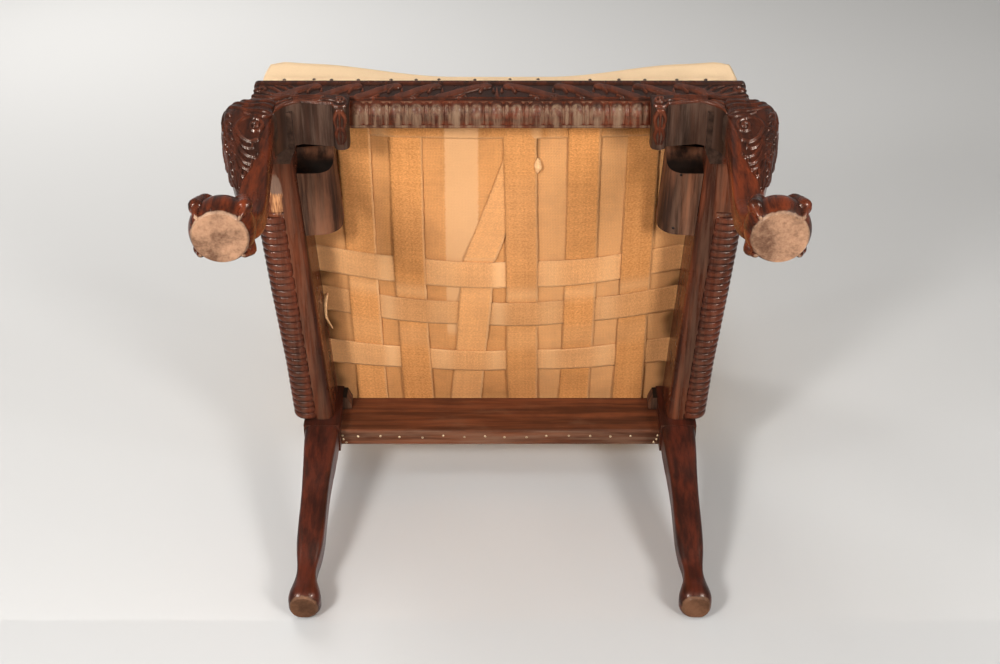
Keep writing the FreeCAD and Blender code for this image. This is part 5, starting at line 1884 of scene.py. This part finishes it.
@dataclass
class KneeCarving:
    """The leaf and scroll carved on each knee, on both sides of its outer ridge."""

    finishes: Finishes
    foot_x: float = 312.0
    foot_y: float = -298.0
    round_reach: float = 34.0
    heights: tuple[float, ...] = (42.0, 88.0, 165.0, 222.0, 276.0, 312.0, 342.0)
    insets: tuple[float, ...] = (9.0, 22.0, 12.0, 3.0, 0.0, 12.0, 24.0)
    low: float = 114.0
    high: float = 326.0
    edge_heights: tuple[float, ...] = (
        114.0, 129.0, 141.0, 153.0, 163.0, 175.0, 199.0, 222.0, 240.0, 262.0, 290.0, 312.0, 326.0
    )
    edge_reach: tuple[float, ...] = (
        2.0, 11.0, 21.0, 33.0, 36.0, 44.0, 45.5, 52.0, 55.0, 60.0, 54.0, 42.0, 28.0
    )

    def draw(self) -> Relief:
        """Draw the leaf for one half of the knee.

        Returns:
            The drawn field: across from the ridge, and up.
        """
        relief = Relief()
        relief.stroke([(0.0, 318.0), (0.0, 116.0)], (3.2, 1.2), (1.8, 1.2))
        for z in np.arange(150.0, 262.0, 14.0):
            relief.stroke(curve([(1.0, z + 8.0), (4.5, z + 4.0), (6.5, z - 2.0)]), (2.4, 1.6), (1.6, 2.4))
        relief.stroke(spiral((37.5, 225.0), 10.5, 14.0, 100.0, -1.5), (2.9, 2.4), (2.5, 2.8))
        band = [(36.0, 242.0), (22.0, 239.0), (13.5, 224.0), (18.0, 207.0), (30.0, 197.0), (41.0, 199.5)]
        relief.stroke(curve(band), (2.8, 2.6), (1.8, 3.0))
        for reach, tip in ((33.0, 186.0), (41.0, 171.0), (31.0, 160.0), (30.0, 150.0), (18.0, 139.0)):
            finger = ((0.26, 36.0), (0.36, 16.0), (0.62, 2.0), (1.0, -1.0), (1.03, 4.0))
            line = curve([(share * reach, tip + rise) for share, rise in finger])
            relief.stroke(line, (2.6, 2.6), (1.5, 3.0))
        relief.stroke(curve([(12.0, 148.0), (9.0, 136.0), (4.0, 122.0)]), (2.6, 1.2), (2.2, 1.4))
        upper = [(58.0, 274.0), (52.0, 254.0), (44.0, 246.5), (33.0, 245.5), (22.0, 252.0)]
        relief.stroke(curve(upper), (2.8, 2.0), (2.8, 2.0))
        for z in (259.0, 275.0, 291.0, 306.0):
            far = float(np.interp(z, self.edge_heights, self.edge_reach)) - 6.0
            frond = [(far, z + 3.0), (0.66 * far, z - 3.0), (0.34 * far, z + 1.0), (4.0, z + 11.0)]
            relief.stroke(curve(frond), (4.0, 2.0), (2.2, 2.0))
            curl = [(0.3 * far, z + 3.0), (0.42 * far, z + 9.0), (0.62 * far, z + 8.0)]
            relief.stroke(curve(curl), (2.4, 1.2), (1.8, 1.4))
        return relief

    def build(self) -> None:
        """Carve both knees."""
        relief = self.draw()
        share, z = np.meshgrid(np.linspace(-1.0, 1.0, 121), np.linspace(self.low, self.high, 170))
        reach = np.interp(z, self.edge_heights, self.edge_reach)
        across = share * reach
        cut = relief.height(np.abs(across), z)
        inside = 1.0 - blend(np.abs(share), 0.9, 1.0)
        ends = window(z, self.low, self.high, 6.0, 5.0)
        height = (cut + 0.9) * inside * ends - 0.35
        # Dirt and painted shade in the ground, stronger higher up the knee; rubbed wear and a painted
        # highlight on the ridges.
        hollow = (0.30 + 0.3 * blend(z, 236.0, 262.0)) * (1.0 - blend(cut, 0.1, 1.5)) * inside * ends
        crest = 0.45 * blend(cut, 2.0, 3.0)
        for side, node in ((-1.0, "left_front_leg"), (1.0, "right_front_leg")):
            tree = wood_tree(node)
            inset = np.interp(z, self.heights, self.insets)
            centre = np.stack([side * (self.foot_x - inset), self.foot_y + inset, z], axis=2)
            angle = math.atan2(-1.0, side) - side * across / self.round_reach
            away = np.stack([np.cos(angle), np.sin(angle), 0.0 * angle], axis=2)
            base = centre.copy()
            for spot in np.ndindex(z.shape):
                hit = cast(tree, centre[spot] + 120.0 * away[spot], -away[spot], 118.0)
                base[spot] = centre[spot] + 30.0 * away[spot] if hit is None else hit
            up = np.gradient(base, axis=0)
            over = np.gradient(base, axis=1)
            out = np.cross(over, up)
            out = out / np.linalg.norm(out, axis=2)[:, :, None]
            facing = np.sign(np.sum(out * away, axis=2))[:, :, None]
            carved_skin(f"{node}_carving", base, out * facing, height, hollow, crest, self.finishes.carved)


@dataclass
class BracketCarving:
    """The leaf on the face of each knee bracket, and the lobed leaf under its roll."""

    finishes: Finishes
    inner: float = 193.0
    outer: float = 284.0
    top: float = 323.8
    face: float = -320.0
    roll_across: tuple[float, float] = (192.4, 211.4)
    roll_deep: tuple[float, float] = (-319.4, -266.0)
    roll_level: float = 294.0
    roll_vein: float = 202.0

    def edges(self, tree: BVHTree, x: Array, side: float) -> tuple[Array, Array]:
        """Find the lower and upper edges of the bracket's face.

        Args:
            tree: The bracket.
            x: Places across, from the middle of the chair.
            side: -1 for the left and 1 for the right.

        Returns:
            The heights of both edges at each place.
        """
        low, high = [], []
        for place_x in x:
            found = [self.top - 1.0]
            for z in np.arange(self.top, 245.0, -0.5):
                start = (side * float(place_x), self.face - 30.0, float(z))
                if cast(tree, start, (0.0, 1.0, 0.0), 34.0) is not None:
                    found.append(float(z))
            found = found[1:] or found
            low.append(min(found))
            high.append(max(found))
        return np.array(low), np.array(high)

    def face_leaf(self, side: float, name: str) -> None:
        """Carve the face of one bracket.

        Args:
            side: -1 for the left and 1 for the right.
            name: Name of the bracket.
        """
        across = np.linspace(self.inner, self.outer, 112)
        low, high = self.edges(wood_tree(name), across, side)
        share, x = np.meshgrid(np.linspace(0.0, 1.0, 40), across, indexing="ij")
        z = low[None, :] + (high - low)[None, :] * share
        relief = Relief()
        relief.stroke(np.stack([across, low + 3.2], axis=1), (2.6, 2.6), (2.6, 2.6))
        for knots in (
            ((283.0, 268.0), (274.0, 283.0), (262.0, 298.0), (246.0, 305.0)),
            ((283.0, 281.0), (273.0, 294.0), (258.0, 306.0), (236.0, 310.0)),
            ((283.0, 294.0), (270.0, 305.0), (252.0, 313.0), (228.0, 314.0)),
            ((283.0, 306.0), (266.0, 314.0), (246.0, 319.0), (222.0, 318.0)),
            ((236.0, 305.0), (226.0, 309.0), (216.0, 309.0), (208.0, 304.0)),
        ):
            relief.stroke(curve(knots), (3.8, 1.8), (2.6, 2.2))
        relief.stroke(spiral((203.0, 306.0), 7.5, 9.0, 60.0, 1.3), (2.4, 2.0), (2.6, 2.8))
        cut = relief.height(x, z)
        edge = window(share, 0.0, 1.0, 0.05, 0.05) * window(x, self.inner, self.outer, 1.5, 2.0)
        height = (cut + 0.8) * edge - 0.3
        # Dirt and painted shade in the ground of the leaf; rubbed wear and a painted highlight on its raised
        # strokes.
        hollow = 0.7 * (1.0 - blend(cut, 0.1, 1.5)) * edge
        base = np.stack([side * x, np.full_like(x, self.face), z], axis=2)
        out = np.zeros_like(base)
        out[:, :, 1] = -1.0
        crest = 0.7 * blend(cut, 1.8, 2.6)
        carved_skin(f"{name}_leaf", base, out, height, hollow, crest, self.finishes.carved)

    def roll_leaf(self, side: float, name: str) -> None:
        """Carve the underside of one roll.

        Args:
            side: -1 for the left and 1 for the right.
            name: Name of the bracket.
        """
        tree = wood_tree(name)
        inner, outer = self.roll_across
        first, last = self.roll_deep
        x, y = np.meshgrid(np.linspace(inner, outer, 34), np.linspace(first, last, 70), indexing="ij")
        base = np.stack([side * x, y, np.full_like(x, self.roll_level)], axis=2)
        for spot in np.ndindex(x.shape):
            hit = cast(tree, (side * x[spot], y[spot], 240.0), (0.0, 0.0, 1.0), 100.0)
            if hit is not None:
                base[spot][2] = hit[2]
        relief = Relief()
        vein = self.roll_vein
        relief.stroke([(vein, -318.0), (vein, -270.0)], (1.8, 1.0), (2.4, 1.2))
        for lean in (-1.0, 1.0):
            for lobe, width, height in (
                (((2.0, -317.0), (6.5, -304.0), (3.5, -288.0)), (3.0, 1.8), (2.6, 1.6)),
                (((3.0, -292.0), (6.0, -281.0), (3.0, -270.0)), (2.6, 1.2), (2.0, 1.0)),
            ):
                relief.stroke(curve([(vein + lean * off, deep) for off, deep in lobe]), width, height)
        cut = relief.height(x, y)
        edge = window(x, inner, outer, 1.6, 1.6) * window(y, first, last, 1.4, 6.0)
        angle = (x - 0.5 * (inner + outer)) / 10.0
        down = -np.sqrt(np.maximum(0.05, 1.0 - 0.64 * angle**2))
        out = np.stack([side * 0.8 * angle, np.zeros_like(x), down], axis=2)
        # Dirt and painted shade in the ground of the roll's leaf; rubbed wear and a painted highlight on its
        # lobes.
        hollow = 0.5 * (1.0 - blend(cut, 0.1, 1.2)) * edge
        crest = 0.8 * blend(cut, 1.5, 2.3)
        height = (cut + 0.3) * edge - 0.35
        carved_skin(f"{name}_roll", base, out, height, hollow, crest, self.finishes.carved)

    def build(self) -> None:
        """Carve both brackets."""
        for side, name in ((-1.0, "left_knee_bracket"), (1.0, "right_knee_bracket")):
            self.face_leaf(side, name)
            self.roll_leaf(side, name)


@dataclass
class Claws:
    """The four toes of each ball foot, with knuckles and pointed talons."""

    finishes: Finishes
    foot_x: float = 312.0
    foot_y: float = -298.0
    ball_centre: float = 22.0
    path: float = 38.6
    turns: tuple[float, ...] = (18.0, 36.0, 48.0, 62.0, 74.0, 88.0, 100.0, 112.0, 119.0, 124.0)
    widths: tuple[float, ...] = (7.6, 8.2, 9.6, 7.6, 7.8, 9.4, 5.0, 3.7, 2.6, 0.6)

    def build(self) -> None:
        """Build the toes of both feet as one piece for each foot."""
        angles = np.linspace(self.turns[0], self.turns[-1], 44)
        thick = np.interp(angles, self.turns, self.widths)
        ring = np.linspace(0.0, 2.0 * math.pi, 14, endpoint=False)
        for side, name in ((-1.0, "left_claws"), (1.0, "right_claws")):
            points = []
            faces = []
            wear = []
            for quarter in range(4):
                heading = math.radians(45.0 + 90.0 * quarter)
                outward = np.array([math.cos(heading), math.sin(heading), 0.0])
                sideways = np.array([-math.sin(heading), math.cos(heading), 0.0])
                start = sum(len(part) for part in points)
                for angle, width in zip(np.radians(angles), thick):
                    away = outward * math.sin(angle) + np.array([0.0, 0.0, math.cos(angle)])
                    middle = np.array([side * self.foot_x, self.foot_y, self.ball_centre]) + away * self.path
                    circle = np.cos(ring)[:, None] * away + 0.92 * np.sin(ring)[:, None] * sideways
                    points.append(middle + width * circle)
                    # Rubbed wear and a painted highlight toward the talon tips.
                    wear.append(np.full(len(ring), 0.45 * float(blend(math.degrees(angle), 92.0, 104.0))))
                faces += tube_faces(len(angles), len(ring), start)
            piece = make_mesh(name, np.concatenate(points), faces, {"crest": np.concatenate(wear)})
            place(piece, self.finishes.leg)


@dataclass
class Tacks:
    """Tack heads along the hem of the cover and under the rear rail, and two nails in a block."""

    plan: SeatPlan
    finishes: Finishes
    front: tuple[float, ...] = (
        -283.0, -244.0, -221.0, -186.0, -143.0, -110.0, -80.0, -33.0,
        13.0, 50.0, 118.0, 156.0, 190.0, 232.0, 270.0,
    )
    under: float = 306.0
    profile: tuple[tuple[float, float], ...] = ((1.0, -0.5), (1.0, 0.12), (0.72, 0.42), (0.3, 0.56))

    def heads(self, name: str, spots: Sequence[Point], out: Point, radius: float, finish: Material) -> None:
        """Build a row of round heads as one piece.

        Args:
            name: Name of the row.
            spots: Where each head sits.
            out: The way that the heads face.
            radius: Radius of a head.
            finish: Their material.
        """
        face = np.asarray(out) / np.linalg.norm(out)
        first = np.cross(face, (0.3, 0.2, 0.9))
        first = first / np.linalg.norm(first)
        turn = np.linspace(0.0, 2.0 * math.pi, 10, endpoint=False)[:, None]
        circle = np.cos(turn) * first + np.sin(turn) * np.cross(face, first)
        head = radius * np.concatenate([reach * circle + rise * face for reach, rise in self.profile])
        points = np.concatenate([np.asarray(spot) + head for spot in spots])
        faces = []
        for start in range(0, len(points), len(head)):
            faces += tube_faces(len(self.profile), len(turn), start)
        place(make_mesh(name, points, faces), finish)

    def build(self) -> None:
        """Set every row of tacks, and the nails."""
        plan = self.plan
        dice = np.random.default_rng(12)
        spots = [(x, plan.front - 0.6, 388.6 + dice.uniform(-1.0, 0.8)) for x in self.front]
        self.heads("front_hem_tacks", spots, (0.0, -1.0, -0.1), 2.3, self.finishes.tack)
        for side, name in ((-1.0, "left_hem_tacks"), (1.0, "right_hem_tacks")):
            ys = [y for y in np.arange(-292.0, 176.0, 30.0) if not -128.0 < y < -64.0]
            spots = [(side * (float(plan.side(y)) - 6.4), float(y), 387.8) for y in ys]
            self.heads(name, spots, (side, 0.06, 0.0), 3.2, self.finishes.tack)
        spots = []
        for x in np.arange(-206.0, 207.0, 30.5):
            spots.append((float(x + dice.uniform(-2.0, 2.0)), 214.0 + dice.uniform(-1.8, 1.8), self.under))
        for side in (-1.0, 1.0):
            for x, y in ((228.0, 219.0), (224.0, 224.5), (229.0, 212.0)):
                spots.append((side * x, y, self.under))
        self.heads("rear_rail_tacks", spots, (0.0, 0.0, -1.0), 1.9, self.finishes.bright_tack)
        nails = [(237.2, -209.4, 315.8), (231.6, -129.3, 315.9)]
        self.heads("block_nails", nails, (-0.27, -0.02, -0.96), 2.0, self.finishes.nail)


@dataclass
class Studio:
    """The camera, the pale ground that the chair lies on, and soft lights."""

    eye: Point = (0.0, -1.1848, -1.5176)
    lens: float = 56.8

    def camera(self) -> None:
        """Put the camera under the seat, as for a chair laid on its back."""
        data = bpy.data.cameras.new("camera")
        data.lens = self.lens
        data.sensor_width = 36.0
        data.clip_end = 60.0
        camera = bpy.data.objects.new("camera", data)
        look = Matrix(((1.0, 0.0, 0.0), (0.0, -0.8320, -0.5548), (0.0, 0.5548, -0.8320))).to_4x4()
        camera.matrix_world = Matrix.Translation(self.eye) @ look
        bpy.context.scene.collection.objects.link(camera)
        bpy.context.scene.camera = camera

    def ground_finish(self) -> Material:
        """Make pale matt ground that is seen from its upper side only.

        Returns:
            The material.
        """
        material, nodes, shader = start_finish("pale_ground")
        shader.inputs["Base Color"].default_value = (0.56, 0.55, 0.535, 1.0)
        shader.inputs["Roughness"].default_value = 0.95
        clear = nodes.add("ShaderNodeBsdfTransparent")
        choose = nodes.add("ShaderNodeMixShader")
        path = nodes.add("ShaderNodeLightPath")
        back = nodes.add("ShaderNodeNewGeometry")
        hidden = nodes.math("MAXIMUM", path.outputs["Is Shadow Ray"], back.outputs["Backfacing"])
        nodes.put(choose.inputs[0], hidden)
        nodes.put(choose.inputs[1], shader.outputs[0])
        nodes.put(choose.inputs[2], clear.outputs[0])
        output = next(node for node in material.node_tree.nodes if node.type == "OUTPUT_MATERIAL")
        nodes.put(output.inputs["Surface"], choose.outputs[0])
        return material

    def ground(self, name: str, middle: Vector, normal: Vector, along: Vector, size: float) -> Object:
        """Lay one flat ground.

        Args:
            name: Its name.
            middle: A point on it.
            normal: The way it faces.
            along: A direction on it.
            size: Half its breadth.

        Returns:
            The ground.
        """
        side = normal.cross(along).normalized()
        corners = [middle + size * (a * along + b * side) for a, b in ((-1, -1), (1, -1), (1, 1), (-1, 1))]
        return make_mesh(name, np.array([tuple(c) for c in corners]) / MM, [(0, 1, 2, 3)], smooth=False)

    def lamp(self, name: str, where: Point, aim: Point, size: float, power: float) -> Object:
        """Hang one soft square lamp.

        Args:
            name: Its name.
            where: Its place.
            aim: What it points at.
            size: Its breadth.
            power: Its power in watts.

        Returns:
            The lamp.
        """
        data = bpy.data.lights.new(name, "AREA")
        data.shape = "SQUARE"
        data.size = size
        data.energy = power
        lamp = bpy.data.objects.new(name, data)
        lamp.location = where
        lamp.rotation_euler = (Vector(aim) - Vector(where)).to_track_quat("-Z", "Y").to_euler()
        bpy.context.scene.collection.objects.link(lamp)
        return lamp

    def build(self) -> None:
        """Set the whole studio."""
        self.camera()
        lean = math.radians(3.4)
        across = Vector((1, 0, 0))
        floor = self.ground("floor", Vector((0, 0, 0)), Vector((0, 0, 1)), across, 3.0)
        facing = Vector((0, -math.cos(lean), math.sin(lean)))
        backdrop = self.ground("laid_on", Vector((0.0, 0.342, 0.985)), facing, across, 3.0)
        finish = self.ground_finish()
        for piece in (floor, backdrop):
            piece.data.materials.append(finish)
        self.lamp("key", (-1.2, -1.45, -1.6), (0.0, -0.05, 0.3), 0.45, 50.0)
        self.lamp("fill", (1.4, -1.2, -1.7), (0.0, 0.0, 0.3), 0.6, 44.0)
        self.lamp("left_glint", (-1.55, -1.90, -0.42), (-0.2, -0.1, 0.3), 0.36, 150.0).visible_diffuse = False
        self.lamp("right_glint", (1.55, -1.90, -0.42), (0.2, -0.1, 0.3), 0.36, 150.0).visible_diffuse = False
        self.lamp("top", (-1.3, -1.3, 2.6), (0.0, 0.0, 0.5), 1.6, 52.0).visible_glossy = False
        self.lamp("rear", (1.4, 2.2, 2.2), (0.0, 0.1, 0.6), 1.8, 45.0)
        world = bpy.data.worlds.new("room")
        bpy.context.scene.world = world
        world.use_nodes = True
        sky = world.node_tree.nodes["Background"].inputs
        sky["Color"].default_value = (1.0, 0.985, 0.96, 1.0)
        sky["Strength"].default_value = 0.34
        bpy.context.scene.view_settings.view_transform = "Standard"


class Armchair:
    """The whole chair: the wooden frame from the solids, and its soft parts and carving."""

    def __init__(self) -> None:
        """Make the finishes and the shared plan."""
        self.finishes = Finishes()
        self.plan = SeatPlan()

    def dress_frame(self) -> None:
        """Give each wooden solid its finish."""
        by_stem = {
            "front_rail": self.finishes.gadroon,
            "rear_rail": self.finishes.rear_rail,
            "crest_rail": self.finishes.rail_across,
            "back_lower_rail": self.finishes.rail_across,
            "left_side_rail": self.finishes.left_rail,
            "side_rail": self.finishes.rail_deep,
            "front_leg": self.finishes.leg,
            "rear_leg": self.finishes.rear_leg,
            "knee_bracket": self.finishes.bracket,
            "corner_block": self.finishes.block,
            "arm_support": self.finishes.upright,
            "arm": self.finishes.rail_deep,
            "arm_pad": self.finishes.muslin,
            "back": self.finishes.muslin,
            "outside": self.finishes.muslin,
        }
        for name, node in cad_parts.items():
            for stem, finish in by_stem.items():
                if stem in name:
                    node.data.materials.clear()
                    node.data.materials.append(finish)
                    break

    def build(self) -> None:
        """Dress the frame and build every soft part."""
        self.dress_frame()
        plan, finishes = self.plan, self.finishes
        for part in (
            Webbing(plan, finishes), Hessian(plan, finishes), SeatCover(plan, finishes),
            Back(finishes), ArmPads(finishes), Frieze(plan, finishes), SideReeds(plan, finishes),
            KneeCarving(finishes), BracketCarving(finishes), Claws(finishes), Tacks(plan, finishes),
        ):
            part.build()


def main() -> None:
    """Build the chair and its studio."""
    logging.basicConfig(level=logging.INFO, format="%(message)s")
    Armchair().build()
    Studio().build()


if __name__ == "__main__":
    main()
